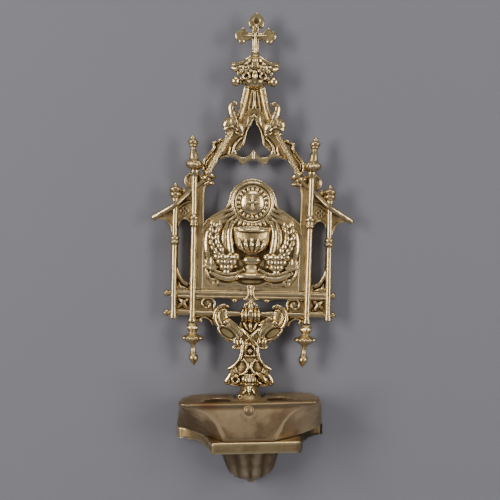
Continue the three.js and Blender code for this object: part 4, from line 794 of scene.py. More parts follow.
# Stem: an acanthus console with a bead at its head, two smooth scoops under a broad cross rib, curls and
# a pointed leaf, standing on a flared foot whose tongue reaches down into the basin's slot.
trunk = smooth_line(
    [(0, -47.4), (4, -48), (4.8, -51), (5.2, -54.6), (6.4, -58.2), (8.8, -60.8), (12.4, -62.8), (11.4, -64.2), (10.6, -65.4),
     (12.8, -67.6), (13.6, -70.2), (12, -72.2), (8.4, -72), (5.4, -73), (4.2, -75.6)], 3)
stem = [plate([trunk + [(-x, z) for x, z in trunk[::-1][:-1]]], 2.4, 8.0, 2.2)]
stem.append(ball(0, 6.2, -61.8, 8.0, (1, 0.46, 0.9)))
stem.append(ball(0, 6.4, -69, 6.4, (0.9, 0.62, 0.72)))
stem.append(ball(0, 9.0, -52.6, 1.4))
stem.append(rod([(-2.5, 8.0, -54.2), (-2.3, 8.6, -50.8), (0, 8.9, -48.9), (2.3, 8.6, -50.8), (2.5, 8.0, -54.2)], 0.65))
stem.append(rod([(-3.0, 8.6, -55.2), (0, 9.0, -55.6), (3.0, 8.6, -55.2)], 0.6))
for x in (-3, -1.55, 0, 1.55, 3):
    stem.append(rod(
        [(x * 0.5, 9.8, -65.6), (x * 1.05, 11.2 - 0.25 * abs(x), -68.6), (x * 0.4, 10.8 - 0.2 * abs(x), -73.8 + 0.9 * abs(x))],
        [0.7, 0.95, 0.45]))
for side in (-1, 1):
    stem.append(rod(
        [(side * 4.2, 7.2, -49.4), (side * 4.7, 7.6, -54), (side * 6, 7.8, -58), (side * 8.6, 7.6, -61), (side * 12.2, 6.8, -63.2)],
        [0.9, 1.0, 1.1, 1.15, 0.9]))
    stem.append(rod([(side * 3.6, 8.8, -57), (side * 1.2, 9.6, -59.6), (side * 0.8, 9.9, -62.2)], [0.6, 0.8, 0.9]))
    stem.append(rod([(side * 0.8, 9.9, -62.2), (side * 2.6, 9.7, -64.8), (side * 5.6, 9.2, -66)], [0.9, 0.8, 0.6]))
    stem.append(rod([(side * 8.2, 7.6, -64.2), (side * 10.6, 7.4, -66.6), (side * 12, 7.0, -69)], [1.2, 1.7, 1.8]))
    stem.append(ball(side * 12.2, 7.0, -69.8, 2.1, (1, 0.9, 1.1)))
    stem.append(ball(side * 7.2, 7.6, -69.4, 3.0, (1.2, 0.5, 0.9)))
    stem.append(rod([(side * 4.6, 8.4, -71.4), (side * 7.4, 8.4, -71.8), (side * 10.2, 7.8, -71.6)], [0.7, 0.9, 0.7]))
stem.append(ring(-7.9, 9.2, -69, 1.8, 0.75))
stem.append(ball(-7.3, 9.8, -66.6, 1.3))
stem.append(rod([(3.4, 9.6, -64.4), (6.4, 9.9, -66.2), (8.8, 9.2, -68.6), (10.4, 8.2, -71)], [0.7, 1.3, 1.6, 1.0]))
stem.append(rod([(3.8, 9.4, -67.4), (4.6, 9.6, -69.6), (6.6, 9.2, -70.8)], [0.5, 0.7, 0.5]))
foot = turned(
    [(0, -81), (6, -81), (7.3, -80.5), (7.7, -79.6), (7.6, -78.6), (7.0, -77.6), (6.2, -76.6), (5.5, -75.4), (5.0, -74),
     (4.9, -72.4), (5.4, -70), (0, -69.6)], 0, 9.4, 0, 40)
foot.scale = (1, 1.14, 1)
stem.append(foot)
stem.append(ring(-5.0, 14.8, -77.4, 1.0, 0.42, (62, 0, -30)))
stem.append(rod([(0, 14.0, -72.2), (0, 15.2, -74), (0, 16.2, -75.8)], [1.6, 1.1, 0.3]))
for side in (-1, 1):
    stem.append(rod([(side * 1.7, 13.8, -72.6), (side * 2.6, 14.9, -74.2), (side * 3.2, 15.6, -75.6)], [0.9, 0.7, 0.3]))
stem.append(plate([[(-4, -94.2), (4, -94.2), (4, -78), (-4, -78)]], 4.8, 8.4, 0.3))
scoops = [(side * 4.8, -61.6, 3.0, 3.5, side * -8, 0.9) for side in (-1, 1)]
stem = cast(stem, 0.24, 2, scoops)
# the foot's lower bell and the top of its tongue, down in the basin's slot, are painted darker: painted shade
depth = [0.3 if -0.082 < v.co.z < -0.0738 else 0 for v in stem.data.vertices]
depth = [more + v.value for more, v in zip(depth, stem.data.attributes["hollow"].data)]
stem.data.attributes["hollow"].data.foreach_set("value", depth)
fitted(stem, "acanthus_stem", worn_brass)


# Drops: turned pendants under the inner columns, with a scalloped disc and an acorn tip.
drop = [turned(
    [(0, -24.1), (0.7, -23.9), (1.0, -23), (1.4, -22.6), (2.2, -21.6), (2.7, -20.2), (2.6, -18.9), (1.9, -18), (1.5, -17.6),
     (1.9, -17.1), (1.4, -16.6), (1.25, -14.4), (1.6, -12.4), (2.6, -11.4), (4.4, -10.4), (5.6, -9.6), (5.9, -8.6), (5.4, -7.7),
     (3.4, -7), (2.4, -6.2), (2.2, -5.2), (3.0, -4.2), (3.5, -3.2), (3.4, -2), (2.6, -1.2), (2.4, -0.6), (2.8, -0.2), (0, 0)],
    33, 6.2, -37.3, 32)]
for k in range(12):
    a = k * math.pi / 6
    drop.append(ball(33 + 5.0 * math.sin(a), 6.2 + 5.0 * math.cos(a), -45.9, 1.3, (1, 1, 0.85)))
for k in range(6):
    a = k * math.pi / 3
    drop.append(ball(33 + 2.6 * math.sin(a), 6.2 + 2.6 * math.cos(a), -40.2, 1.2))
drop = cast(drop, 0.22, 1)
leaning(drop, 0.06, -0.0373)
fitted_pair(drop, "drop", rod_brass)
leaning(bpy.data.objects["cast_drop_right"], 0.018, 0.035)


# Gable tracery: the pierced plate between the rafters, with beaded panels above a pointed opening
# and a cusped bar across its foot.
def rafter_x(z):
    return float(np.interp(z, (47.4, 71.2, 80.9, 96.8), (25, 12.7, 7.8, 4.3)))


opening = smooth_line([(0, 79), (1.9, 76), (4.3, 71.6), (5.1, 67.6)], 4)[:-1]
opening += smooth_line([(5.1, 67.6), (5.9, 64.6), (7.8, 61.9), (9.7, 60.2), (9.4, 58.6)], 4)[:-1]
opening += smooth_line([(9.4, 58.6), (7.8, 57.4), (5.6, 56.9), (3.8, 57.4)], 4)[:-1]
opening += smooth_line([(3.8, 57.4), (2.2, 58.8), (0.9, 60.6), (0, 61)], 4)
bar_foot = smooth_line([(19.4, 55.4), (16.8, 56.2), (13, 56.8), (10.4, 56.2), (8.6, 54.8), (7.2, 52.8), (6, 52)], 4)[:-1]
bar_foot += smooth_line([(6, 52), (4.9, 52.8), (3.4, 54.4), (1.8, 55.2), (0, 55.5)], 4)
flank = [(rafter_x(z) - 0.4, z) for z in np.linspace(96.6, 56.6, 14)]
half = flank + bar_foot
outline = half + [(-x, z) for x, z in half[::-1][1:]]
hole = opening + [(-x, z) for x, z in opening[::-1][1:-1]]
gable = [plate([outline, hole], 1.0, 3.7, 0.3)]
above = opening[opening.index(min(opening[8:22], key=lambda p: abs(p[1] - 58.6))):]
beam = bar_foot[::-1] + [(18.6, 57.2), (14, 58.6), (11.6, 59.8)] + above
gable.append(plate([beam], 1.2, 4.6, 0.9))
gable.append(plate([[(-x, z) for x, z in beam]], 1.2, 4.6, 0.9))
for side in (-1, 1):
    gable.append(rod([(side * x, 3.6, z) for x, z in opening[3:20:2]], 0.7))
    gable.append(rod(
        [(side * 7.0, 4.0, 68), (side * 9.4, 4.4, 65.6), (side * 10.9, 4.5, 63.2), (side * 11.5, 4.2, 60.6), (side * 12, 3.8, 58.8)],
        [0.7, 0.8, 0.8, 0.8, 0.7]))
    gable.append(rod([(side * 13.6, 3.2, 64.6), (side * 13.8, 3.4, 61.4), (side * 14.6, 3.6, 58.6)], [0.5, 0.8, 0.9]))
    gable.append(rod([(side * 0.4, 3.8, 95.6), (side * 0.4, 3.9, 88), (side * 0.7, 3.9, 85.6), (side * 3.8, 3.8, 81.4)], 0.42))
    gable.append(rod([(side * 2.3, 3.8, 84.8), (side * 5.2, 3.7, 81.2)], 0.38))
    for s in np.linspace(0, 1, 11):
        gable.append(ball(side * (1.7 + 1.9 * s), 3.7, 95 - 10.4 * s, 0.62))
    gable.append(ball(side * 5.0, 3.4, 77, 1, (1.8, 0.8, 4.4), side * -14))
gable.append(ball(0, 4.2, 80.9, 0.95))
for side in (-1, 1):
    gable.append(ball(side * 1.1, 4.0, 79.9, 0.8))
fitted(cast(gable, 0.22, 1), "gable_tracery", worn_brass)


# Rafters: the two sloping bars of the gable, each with two ridges along it and beads between them above
# the crockets.
high = [(4.4, 5.0, 96.2), (6.0, 5.0, 88.6), (8.2, 5.0, 81), (10.4, 5.0, 76)]
rafter = [rod(high, 1.35)]
for shift in (-0.85, 0.85):
    rafter.append(rod([(x + shift, out + 1.0, z + 0.25 * shift) for x, out, z in high], 0.75))
for s in np.linspace(0, 1, 14):
    z = 95.6 - 17 * s
    rafter.append(ball(float(np.interp(z, (76, 81, 88.6, 96.2), (10.4, 8.2, 6.0, 4.4))), 6.3, z, 0.36))
low = [(10.4, 5, 76), (12.9, 5, 70.8), (19, 5, 59.6), (25.2, 5, 48)]
rafter.append(rod(low, [1.4, 1.5, 1.5, 1.4]))
for shift in (-0.8, 0.8):
    rafter.append(rod([(x + 0.87 * shift, 6.0, z + 0.49 * shift) for x, out, z in low], 0.8))
fitted_pair(cast(rafter, 0.21, 1), "rafter", worn_brass)


# Large crockets: leaves clasped over the bends of the rafters. A curl rolls over at the top, two full
# lobes hang at the sides, and their rolled lips stand open over the plain bar that comes out below.
knot = [ball(11.8, 6.4, 75.2, 5.2, (1.0, 0.52, 0.9), -20)]
knot.append(ball(15.1, 7.0, 75.2, 3.1, (0.92, 0.72, 1.2), -14))
knot.append(ball(8.6, 7.0, 74.2, 2.8, (0.9, 0.76, 1.8), 27))
knot.append(ball(11.9, 7.8, 76.4, 2.6, (1.0, 0.6, 1.3), 10))
knot.append(rod(
    [(11.2, 7.0, 78), (12.4, 7.6, 81), (13, 8.0, 83.8), (12.4, 8.4, 85.8), (10.9, 8.6, 86.5), (9.6, 8.2, 85.8)],
    [2.6, 2.4, 2.1, 1.7, 1.5, 1.0]))
knot.append(rod([(10.8, 8.9, 79.4), (12.3, 9.2, 82), (12.4, 9.4, 84.6)], [0.5, 0.5, 0.4]))
knot.append(rod([(12.8, 8.8, 79), (14.6, 8.9, 77.4), (15.8, 8.7, 75), (16.4, 8, 72.6)], [0.45, 0.5, 0.5, 0.45]))
knot.append(rod([(10.4, 8.8, 78.4), (9.2, 9.0, 75.8), (7.6, 8.6, 72.8), (6.1, 7.6, 70.2)], [0.5, 0.6, 0.6, 0.5]))
knot.append(rod([(16.8, 7.6, 71.8), (14.8, 8.6, 72.6), (12.6, 9.0, 73.2), (10.6, 9.0, 72.6), (9.2, 8.4, 71.2)], 0.6))
knot.append(rod([(10.2, 7.6, 70.6), (8.4, 7.8, 69.4), (6.8, 7.4, 69.2), (5.7, 6.6, 70)], [0.5, 0.65, 0.65, 0.5]))
knot.append(rod([(15.8, 6.8, 70.4), (14.9, 6.4, 69.4), (14.6, 6, 68)], [0.8, 0.8, 0.5]))
fitted_pair(cast(knot, 0.22, 1), "large_crocket", worn_brass)


# Rafter leaves: broad leaf blades along the outer sides of the lower rafters, with a rolled rim that
# swings in under the bar's end, a fine line inside it and two thorns at the top.
edge = smooth_line(
    [(22.3, 62.4), (23.5, 60.4), (25.7, 58), (28, 54.8), (28.9, 51.9), (28.5, 49.2), (26.6, 46.9), (24.4, 46.2)], 4)
blade = [(14.8, 66.2), (17.2, 66.4), (19, 67), (20, 65.6), (21.8, 65.2), (23.4, 65), (23.6, 63.8)] + edge
leaf = [plate([blade + [(23.6, 48), (19.6, 57)]], 1.8, 3.9, 0.3)]
leaf.append(rod([(x - 0.3, 4.2, z) for x, z in edge[::2]], 0.9))
leaf.append(rod([(22.6, 4.0, 59), (24.3, 4.0, 56.8), (26.2, 4.0, 54), (26.9, 4.0, 51.8), (26.6, 4.0, 50)], 0.4))
leaf.append(rod([(22.3, 4.2, 62.4), (22.6, 4.3, 63.6), (23.4, 4.2, 64.4)], [0.9, 0.8, 0.9]))
leaf.append(rod([(23.4, 4.2, 64.4), (21.4, 4.2, 65), (19.6, 4.2, 65.8), (19, 4.2, 66.6)], [0.9, 0.65, 0.7, 0.9]))
leaf.append(rod([(19, 4.2, 66.6), (17, 4.0, 66.2), (15.2, 4.0, 67)], [0.8, 0.6, 0.7]))
fitted_pair(cast(leaf, 0.21, 1), "rafter_leaf", worn_brass)


# Rafter feet: turned cups in which rafter and leaf end over the eave, with a lip above and a ring below.
cupped = turned(
    [(0, -3.4), (1.8, -3.4), (2.8, -2.9), (3.1, -2.2), (2.6, -1.5), (2.7, -1.0), (3.7, -0.3), (4.2, 0.6), (4.0, 1.4), (3.2, 1.6),
     (2.4, 1.0), (0, 0.9)], 25.1, 5.2, 46.2, 32)
cupped.rotation_euler = (0, math.radians(-29), 0)
cupped.scale = (1, 0.85, 1)
shoe = [cupped]
shoe.append(rod([(29, 4.6, 46.8), (29.2, 4.8, 45), (27.2, 5.4, 43.6)], [0.6, 0.7, 0.6]))
fitted_pair(cast(shoe, 0.2, 1), "rafter_foot", worn_brass)


# Crown knop: a bushy leafed capital where the rafters meet, with two rows of curls, drooping leaf tips at
# the sides, a ball below each of them and a pointed leaf down the middle.
body = turned(
    [(0, 95.2), (2.6, 95.4), (4.4, 96.4), (5.8, 98.2), (6.4, 100.4), (6.0, 102.2), (6.4, 103.8), (7.4, 105.4), (7.6, 107.2),
     (6.6, 109), (5.0, 110.8), (3.5, 112.6), (2.6, 114.4), (2.2, 115.8), (0, 115.9)], 0, 6.7, 0, 36)
body.scale = (1, 0.74, 1)
knop = [body]
for side in (-1, 1):
    knop.append(rod(
        [(side * 2.4, 8, 113.2), (side * 5.2, 8.6, 110.4), (side * 9, 8.4, 108.4), (side * 12, 7.8, 108.4), (side * 13.7, 7.2, 109.8)],
        [0.9, 1.5, 1.8, 1.6, 0.6]))
    knop.append(rod(
        [(side * 6, 9.6, 107.2), (side * 9.4, 9, 106), (side * 12.4, 8, 106.4), (side * 13.2, 7.6, 108)], [1.1, 1.6, 1.4, 0.8]))
    knop.append(rod([(side * 1.6, 9.2, 112.2), (side * 3.4, 10.6, 110), (side * 5, 11.2, 108.6)], [0.8, 1.1, 0.8]))
    knop.append(ring(side * 5.0, 11.4, 106.2, 1.7, 0.7))
    knop.append(ball(side * 5.0, 11.2, 106.2, 0.8))
    knop.append(ring(side * 4.7, 11.2, 101.5, 1.75, 0.7, (84, 0, side * 12)))
    knop.append(ball(side * 7.6, 9.8, 104.2, 1.4))
    knop.append(ball(side * 2.3, 11.6, 104.2, 1.15))
    knop.append(ball(side * 7.3, 9.4, 100.4, 1.4))
    knop.append(ball(side * 9.1, 8.8, 103.3, 1.5))
    knop.append(rod([(side * 4, 7, 99.4), (side * 8.8, 7.4, 99.2)], [2.2, 1.5]))
    knop.append(ring(side * 7.9, 7.4, 99.2, 1.5, 0.6, (0, 90, 0)))
    knop.append(ball(side * 10.8, 7.4, 99.1, 2.75))
for x in (-1.25, 0, 1.25):
    knop.append(rod([(x * 0.6, 9.4, 112.6), (x, 11.6, 109.4), (x * 0.8, 12.2, 106.2)], [0.5, 0.85, 0.6]))
for x in (-0.8, 0.8):
    knop.append(rod([(x * 0.6, 11.6, 104.2), (x, 12.4, 101.4), (x * 0.5, 11.2, 97.4)], [0.7, 0.9, 0.5]))
fitted(cast(knop, 0.22, 1), "crown_knop", worn_brass)


# Cross finial: flat bars with a rib along them, a spade-shaped head and three-lobed arms, on a stud.
spade = smooth_line(
    [(0.4, 138.2), (2.6, 136.8), (4.4, 134.6), (4.9, 132.4), (4.4, 130.4), (3.2, 129.3), (1.9, 130), (-1.9, 130), (-3.0, 129.3),
     (-3.9, 130.6), (-4.2, 132.6), (-3.4, 134.6), (-1.6, 136.8)], 4, closed=True)
cross = [plate([spade], 5.0, 8.0, 0.9)]
cross.append(plate([[(-1.95, 114.6), (1.95, 114.6), (1.9, 131.4), (-1.9, 131.4)]], 5.0, 8.0, 0.7))
cross.append(rod([(0, 7.8, 115), (0, 8.1, 123), (0.2, 7.8, 131.4)], [0.9, 1.0, 0.6]))
for side in (-1, 1):
    lobe = smooth_line(
        [(side * 0.6, 126.6), (side * 3.2, 126.6), (side * 5.2, 127.8), (side * 6.8, 129.6), (side * 8.2, 129.3), (side * 9.4, 128),
         (side * 11, 127.1), (side * 11.8, 124.9), (side * 11.2, 122.9), (side * 9.8, 122), (side * 8.8, 120.6), (side * 7.2, 120.4),
         (side * 5.6, 121.8), (side * 3.4, 122.8), (side * 0.6, 122.8)], 4, closed=True)
    cross.append(plate([lobe], 5.0, 8.0, 0.9))
    cross.append(rod([(side * 0.8, 7.9, 124.7), (side * 6.4, 7.8, 124.7)], [0.7, 0.4]))
    cross.append(ball(side * 7.6, 7.7, 127.4, 1.3, (1, 0.4, 1.2)))
    cross.append(ball(side * 9.8, 7.7, 124.8, 1.3, (1.1, 0.4, 1.1)))
    cross.append(ball(side * 7.6, 7.7, 122.2, 1.3, (1, 0.4, 1.2)))
cross.append(rod([(0, 6.7, 116.6), (0, 6.7, 112)], 0.9))
scoops = [(0.4, 133.2, 2.2, 2.0, 0, 0.5)]
fitted(cast(cross, 0.22, 1, scoops), "cross_finial", worn_brass)


# Basin: a cast bowl of duller, browner brass with a lip along the front, two round wells in its deck,
# a notch for the stem's foot and swept flanks. It hangs on the rivet and is tilted a little on it.
flanks = (
    ((27, 0), (31.5, 2.2), (35.2, 6.5), (37.4, 12.5), (38.3, 19), (38.5, 25), (38.3, 29), (37.4, 31.2), (35.6, 32)),
    ((35.5, 0), (37.8, 2.8), (39.2, 7), (39.6, 12.5), (39, 18.5), (36.8, 24), (33.4, 28), (29, 30.4), (23.8, 31.8)),
    ((39.6, 0), (40.4, 3), (40.2, 7), (39, 12), (36.8, 17.2), (33, 22.4), (28.4, 26.6), (23.4, 29.4), (18.4, 31.3)),
    ((41.2, 0), (40.8, 2.8), (39.5, 6.2), (37.2, 10.6), (33.8, 15.4), (29.6, 20.2), (25, 24.4), (20.4, 27.8), (15.8, 30.6)),
    ((41.8, 0), (40.8, 2.0), (38.8, 4.8), (35.4, 8.8), (31.2, 13.6), (26.8, 18.4), (22.4, 22.8), (18, 26.6), (13.8, 29.8)))


def rim_to_base(drop):
    spot = min(drop * 4, 3.9999)
    row = int(spot)
    grids = [np.array(flanks[min(max(row + k, 0), 4)]) for k in (-1, 0, 1, 2)]
    a, b, c, d = grids
    s = spot - row
    knots = 0.5 * (2 * b + (c - a) * s + (2 * a - 5 * b + 4 * c - d) * s**2 + (3 * b - a - 3 * c + d) * s**3)
    side = smooth_line([tuple(k) for k in knots], 3)
    edge_x, edge_out = knots[-1]
    swell = 0.9 * math.sin(math.pi * drop) + 0.3
    lip = 0.8 * math.exp(-((22 * drop - 1.5) / 1.3) ** 2) - 1.5 * max(0, 1 - 22 * drop / 1.7) ** 2
    bib = [(edge_x * (1 - t), edge_out + swell * (1 - (1 - t) ** 2)) for t in (0.12, 0.3, 0.5, 0.75, 1)]
    found = []
    for x, out in side + bib:
        out += lip * min(1, max(0, (out - 22) / 8))
        found.append((x, out, 2.6 * drop * min(1, max(0, (x - 14) / 10)) * min(1, out / 12)))
    return found


levels = []
heights = np.concatenate([[0, 0.01, 0.022, 0.037, 0.055], np.linspace(0.078, 1, 30)])
for drop in heights:
    half = rim_to_base(drop)
    level = [(s - x, -out, -76.7 - 22 * drop + 3.0 * drop * (1 - out / 32)) for x, out, s in half]
    level += [(s + x, -out, -76.7 - 22 * drop + 3.0 * drop * (1 - out / 32)) for x, out, s in half[::-1][1:]]
    levels.append(level)
count = len(levels[0])
corners = [p for level in levels for p in level]
faces = []
for row in range(len(levels) - 1):
    for k in range(count):
        a, b = row * count + k, row * count + (k + 1) % count
        faces.append((b, a, a + count, b + count))
faces.append(tuple(range(count)))
faces.append(tuple(reversed(range(len(corners) - count, len(corners)))))
shell = bpy.data.meshes.new("bowl")
shell.from_pydata(corners, [], faces)
bowl = bpy.data.objects.new("bowl", shell)
bpy.context.scene.collection.objects.link(bowl)
alone(bowl)
bpy.ops.object.mode_set(mode="EDIT")
bpy.ops.mesh.select_all(action="SELECT")
bpy.ops.mesh.normals_make_consistent(inside=False)
bpy.ops.object.mode_set(mode="OBJECT")


def hollowed(piece, tool):
    alone(tool)
    bpy.ops.object.transform_apply(location=True, rotation=True, scale=True)
    alone(piece)
    carve = piece.modifiers.new("carve", "BOOLEAN")
    carve.operation = "DIFFERENCE"
    carve.solver = "EXACT"
    carve.object = tool
    bpy.ops.object.modifier_apply(modifier=carve.name)
    bpy.data.objects.remove(tool)


alone()
bpy.ops.mesh.primitive_cube_add(size=1, location=(0, -12.2, -75.3), scale=(120, 34.4, 5))
hollowed(bowl, bpy.context.object)
for side in (-1, 1):
    hollowed(bowl, turned(
        [(0, -11.8), (3.2, -11.6), (5, -10.8), (6, -9.4), (6.6, -7), (6.9, -4), (7, -1.2), (7.2, -0.4), (7.8, 0.2), (7.8, 3), (0, 3)],
        side * 17, 20.2, -77.8, 40))
notch = turned([(0, -82), (7, -82), (8.3, -80.4), (8.3, -77.6), (8.6, -74), (0, -74)], 0, 9.4, 0, 40)
notch.scale = (1, 1.18, 1)
hollowed(bowl, notch)
alone()
bpy.ops.mesh.primitive_cube_add(size=1, location=(0, -3.2, -78.8), scale=(18.6, 12.4, 6.4))
hollowed(bowl, bpy.context.object)
alone()
bpy.ops.mesh.primitive_cube_add(size=1, location=(0, -6.6, -86.5), scale=(9.8, 5.4, 17.4))
hollowed(bowl, bpy.context.object)
alone()
bpy.ops.mesh.primitive_cylinder_add(
    vertices=24, radius=1.85, depth=40, location=(0, -23.3, -81.3), rotation=(math.pi / 2, 0, 0))
hollowed(bowl, bpy.context.object)


def hung(piece):
    lean = math.radians(-2.3)
    alone(piece)
    piece.rotation_euler = (0, lean, 0)
    piece.location = (0.0813 * math.sin(lean), 0, 0.0813 * (math.cos(lean) - 1))
    bpy.ops.object.transform_apply(location=True, rotation=True, scale=True)
    return piece


def tinted(nodes, links, where, colour, way, start, end, most, tone):
    lie = nodes.new("ShaderNodeVectorMath")
    lie.operation = "DOT_PRODUCT"
    links.new(where.outputs["Object"], lie.inputs[0])
    lie.inputs[1].default_value = way
    share = nodes.new("ShaderNodeMapRange")
    share.interpolation_type = "SMOOTHSTEP"
    links.new(lie.outputs["Value"], share.inputs["Value"])
    share.inputs["From Min"].default_value = start
    share.inputs["From Max"].default_value = end
    share.inputs["To Max"].default_value = most
    coat = nodes.new("ShaderNodeMix")
    coat.data_type = "RGBA"
    links.new(share.outputs["Result"], coat.inputs["Factor"])
    links.new(colour, coat.inputs["A"])
    coat.inputs["B"].default_value = (*tone, 1)
    return coat.outputs["Result"]


# basin colour overlays: painted light and shade over flanks, deck, lip and foot, and a real rust-red stain on the lip
def stains_and_painted_light(nodes, links, where, colour):
    # lighter over the right flank: painted light
    colour = tinted(nodes, links, where, colour, (1, 0, 0), 0.017, 0.03, 0.45, (0.66, 0.51, 0.33))
    # darker along the far right edge where the flank turns away: painted shade
    colour = tinted(nodes, links, where, colour, (1, 0, 0), 0.036, 0.0395, 0.5, (0.16, 0.115, 0.065))
    # darker toward the lower left: painted shade
    colour = tinted(nodes, links, where, colour, (-0.7, 0, -0.7), 0.076, 0.088, 0.65, (0.13, 0.085, 0.045))
    # darker over the deck and lip top, dimming their lamp highlight: painted shade
    colour = tinted(nodes, links, where, colour, (-0.04, 0, 1), -0.0795, -0.0772, 0.5, (0.2, 0.145, 0.085))
    # darker at the foot of the bowl over the band: painted shade
    colour = tinted(nodes, links, where, colour, (0, 0, -1), 0.0945, 0.0985, 0.6, (0.1, 0.065, 0.035))
    # darker along the front lip, dimming its highlight: painted shade
    colour = tinted(nodes, links, where, colour, (-0.028, -0.7, 0.7), -0.0345, -0.0325, 0.7, (0.14, 0.1, 0.055))
    squeezed = nodes.new("ShaderNodeVectorMath")
    squeezed.operation = "MULTIPLY"
    links.new(where.outputs["Object"], squeezed.inputs[0])
    squeezed.inputs[1].default_value = (0.45, 0.6, 1)
    spot = nodes.new("ShaderNodeVectorMath")
    spot.operation = "DISTANCE"
    links.new(squeezed.outputs["Vector"], spot.inputs[0])
    spot.inputs[1].default_value = (-0.0215 * 0.45, -0.0325 * 0.6, -0.0788)
    close = nodes.new("ShaderNodeMapRange")
    links.new(spot.outputs["Value"], close.inputs["Value"])
    close.inputs["From Min"].default_value = 0.0042
    close.inputs["From Max"].default_value = 0.001
    close.inputs["To Max"].default_value = 0.68
    rust = nodes.new("ShaderNodeMix")
    rust.data_type = "RGBA"
    links.new(close.outputs["Result"], rust.inputs["Factor"])
    links.new(colour, rust.inputs["A"])
    rust.inputs["B"].default_value = (0.19, 0.085, 0.038, 1)
    return rust.outputs["Result"]


dull_brass = brass_finish(
    "dull_brass", (0.68, 0.53, 0.325), (0.48, 0.355, 0.208), (0.26, 0.178, 0.1), (0.085, 0.052, 0.025), 0.43, 70, stains_and_painted_light)
basin = cast([bowl], 0.38, 5)
place = np.array([v.co for v in basin.data.vertices]) * 1000
depth = np.array([v.value for v in basin.data.attributes["hollow"].data])
# the flanks' ridges are painted lighter along the creases: painted highlight
depth = depth - 1.0 * np.maximum(0, -depth - 0.1)
# inside the two wells the colour is painted dark: painted shade in the wells
for side in (-1, 1):
    inside = np.hypot(place[:, 0] - side * 17, place[:, 1] + 20.2) < 8.4
    depth = np.where(inside & (place[:, 2] < -78.1) & (place[:, 2] > -90.2), 0.75, depth)
basin.data.attributes["hollow"].data.foreach_set("value", depth.astype(np.float32))
fitted(hung(basin), "basin_body", dull_brass, "basin")


# Base band: the moulding round the foot of the bowl, a rounded edge over a hollow, cast with it.
def grown(line, grow):
    spots = np.array(line)
    ahead = np.roll(spots, -1, 0) - np.roll(spots, 1, 0)
    ahead /= np.linalg.norm(ahead, axis=1)[:, None]
    moved = spots + grow * np.stack([ahead[:, 1], -ahead[:, 0]], 1)
    moved[:, 1] = np.minimum(moved[:, 1], 0)
    return moved


cove = [(41.8 - 18.2 * math.cos(a), 30 * (1 - math.sin(a))) for a in np.linspace(math.pi / 2, 0, 14)]
foot_line = [(3.7 * out / 30 - x, -out) for x, out in cove] + [(3.7 * out / 30 + x, -out) for x, out in cove[::-1]]
steps = ((-6, -98.8), (0.9, -98.8), (1.4, -99.1), (1.55, -99.7), (1.55, -104.0), (1.3, -104.7), (0.6, -105), (-6, -105))
corners = []
for grow, z in steps:
    corners += [(x, y, z + 3.0 * (1 + y / 32)) for x, y in grown(foot_line, grow)]
count = len(foot_line)
faces = []
for row in range(len(steps) - 1):
    for k in range(count):
        a, b = row * count + k, row * count + (k + 1) % count
        faces.append((a, b, b + count, a + count))
faces.append(tuple(range(count)))
faces.append(tuple(range(len(corners) - count, len(corners))))
hoop = bpy.data.meshes.new("hoop")
hoop.from_pydata(corners, [], faces)
band = bpy.data.objects.new("hoop", hoop)
bpy.context.scene.collection.objects.link(band)
alone(band)
bpy.ops.object.mode_set(mode="EDIT")
bpy.ops.mesh.select_all(action="SELECT")
bpy.ops.mesh.normals_make_consistent(inside=False)
bpy.ops.object.mode_set(mode="OBJECT")


# the band's right end is painted dark: painted shade
def painted_end_shade(nodes, links, where, colour):
    return tinted(nodes, links, where, colour, (1, 0, 0), 0.025, 0.029, 0.94, (0.075, 0.056, 0.032))


olive_brass = brass_finish(
    "olive_brass", (0.6, 0.475, 0.265), (0.4, 0.305, 0.165), (0.28, 0.205, 0.105), (0.07, 0.045, 0.02), 0.32, 80, painted_end_shade)
fitted(hung(cast([band], 0.3, 2)), "base_band", olive_brass, "basin")


# Fluted boss: a half-round pendant of twelve full lobes under the band, ending in a small nub.
profile = smooth_line(
    [(17.6, 3.4), (17.6, 0), (17.2, -3.2), (16.6, -6), (15.9, -8.6), (15.1, -11), (14.4, -13.4), (13.6, -15.6), (12.4, -17.6),
     (10.4, -19.4), (7.4, -20.8), (4.4, -21.8), (2.9, -22.5), (2.3, -23.4), (1.5, -24.4), (0.1, -24.8)], 4)
corners = []
for radius, height in profile:
    for k in range(144):
        a = 2 * math.pi * k / 144
        full = 0.1 * min(1, max(0, (-1.0 - height) / 4)) * min(1, max(0, (height + 22) / 3))
        lobe = 1 - full * (1 - abs(math.sin(5.5 * a)) ** 0.9)
        corners.append((radius * lobe * math.sin(a), -1.3 * radius * lobe * math.cos(a), -104 + height))
faces = []
for row in range(len(profile) - 1):
    for k in range(144):
        a, b = row * 144 + k, row * 144 + (k + 1) % 144
        faces.append((a, b, b + 144, a + 144))
faces.append(tuple(range(144)))
faces.append(tuple(range(len(corners) - 144, len(corners))))
pendant = bpy.data.meshes.new("pendant")
pendant.from_pydata(corners, [], faces)
boss = bpy.data.objects.new("pendant", pendant)
bpy.context.scene.collection.objects.link(boss)
alone(boss)
bpy.ops.object.mode_set(mode="EDIT")
bpy.ops.mesh.select_all(action="SELECT")
bpy.ops.mesh.normals_make_consistent(inside=False)
bpy.ops.mesh.bisect(plane_co=(0, -0.05, 0), plane_no=(0, 1, 0), use_fill=True, clear_outer=True)
bpy.ops.object.mode_set(mode="OBJECT")
# the lobe crests are painted lighter, as wear and as painted highlight
grey_brass = brass_finish(
    "grey_brass", (0.44, 0.34, 0.215), (0.23, 0.172, 0.104), (0.17, 0.125, 0.075), (0.09, 0.065, 0.04), 0.34, 80)
boss = cast([boss], 0.3, 3)
depth = np.array([v.value for v in boss.data.attributes["hollow"].data])
depth = np.where(depth > 0, 0.45, 0.7) * depth
boss.data.attributes["hollow"].data.foreach_set("value", depth.astype(np.float32))
fitted(hung(boss), "fluted_boss", grey_brass, "basin")


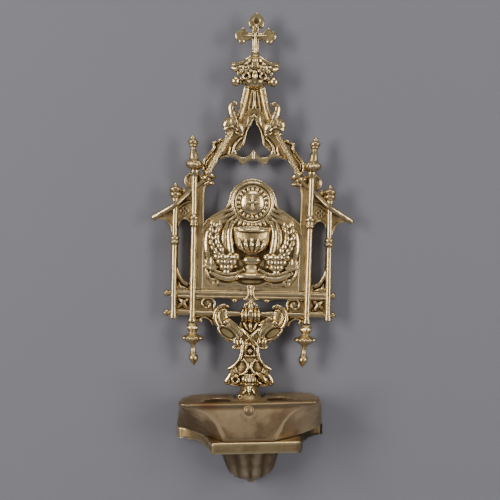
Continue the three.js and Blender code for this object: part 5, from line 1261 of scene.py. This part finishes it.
# Rivet: a domed head with a dimple on the basin's front, its shank running back through the tongue.
pin = turned(
    [(0, 3.6), (1.6, 3.6), (1.6, 32), (2.7, 32.4), (2.9, 33.0), (2.7, 33.4), (2.3, 33.5), (2.1, 33.4), (1.9, 33.7),
     (1.4, 34.0), (0.7, 34.2), (0, 34.2)], 0, 0, -81.3, 32)
pin.rotation_euler = (math.pi / 2, 0, 0)
rivet_brass = brass_finish(
    "rivet_brass", (0.4, 0.295, 0.175), (0.3, 0.215, 0.125), (0.22, 0.155, 0.085), (0.06, 0.04, 0.02), 0.46, 80)
fitted(cast([pin], 0.16, 1), "basin_rivet", rivet_brass)


# Old polish, dust and painted shade: on the back, what lies deep between standing forms is painted
# dark, as dust and as the shade that falls between them. Each point is set against the mean height of
# the forms within a few millimetres of it.
cell = 0.4
tops = np.zeros((320, 700))
backs = [piece for piece in bpy.data.objects if piece.name.startswith("cast_") and body_of(piece) == ["back"]]
spots = {}
for piece in backs:
    place = np.empty(len(piece.data.vertices) * 3)
    piece.data.vertices.foreach_get("co", place)
    place = place.reshape(-1, 3) * 1000
    column = np.clip((place[:, 0] / cell + 160).astype(int), 0, 319)
    row = np.clip((place[:, 2] / cell + 340).astype(int), 0, 699)
    np.maximum.at(tops, (column, row), -place[:, 1])
    spots[piece.name] = (column, row, -place[:, 1])
around = tops
for step in range(10):
    around = sum(np.roll(np.roll(around, i, 0), k, 1) for i in (-1, 0, 1) for k in (-1, 0, 1)) / 9
for piece in backs:
    column, row, out = spots[piece.name]
    sunk = np.clip((around[column, row] - out - 0.3) / 2.2, 0, 1)
    deep = np.empty(len(out))
    piece.data.attributes["hollow"].data.foreach_get("value", deep)
    # the crown knop's hollows are painted darker still and the whole knop a little darker: painted shade
    if piece.name == "cast_crown_knop":
        deep = 1.5 * deep + 0.14
    if piece.name.startswith("cast_inner_column"):
        deep = np.where(deep > 0, 0.45 * deep, deep)
    dust_and_shade = 0.1 if piece.name.startswith(("cast_relief", "cast_inner_column", "cast_gable", "cast_arch")) else 0.36
    deep = np.clip(deep + dust_and_shade * sunk, -1, 1)
    piece.data.attributes["hollow"].data.foreach_set("value", deep.astype(np.float32))
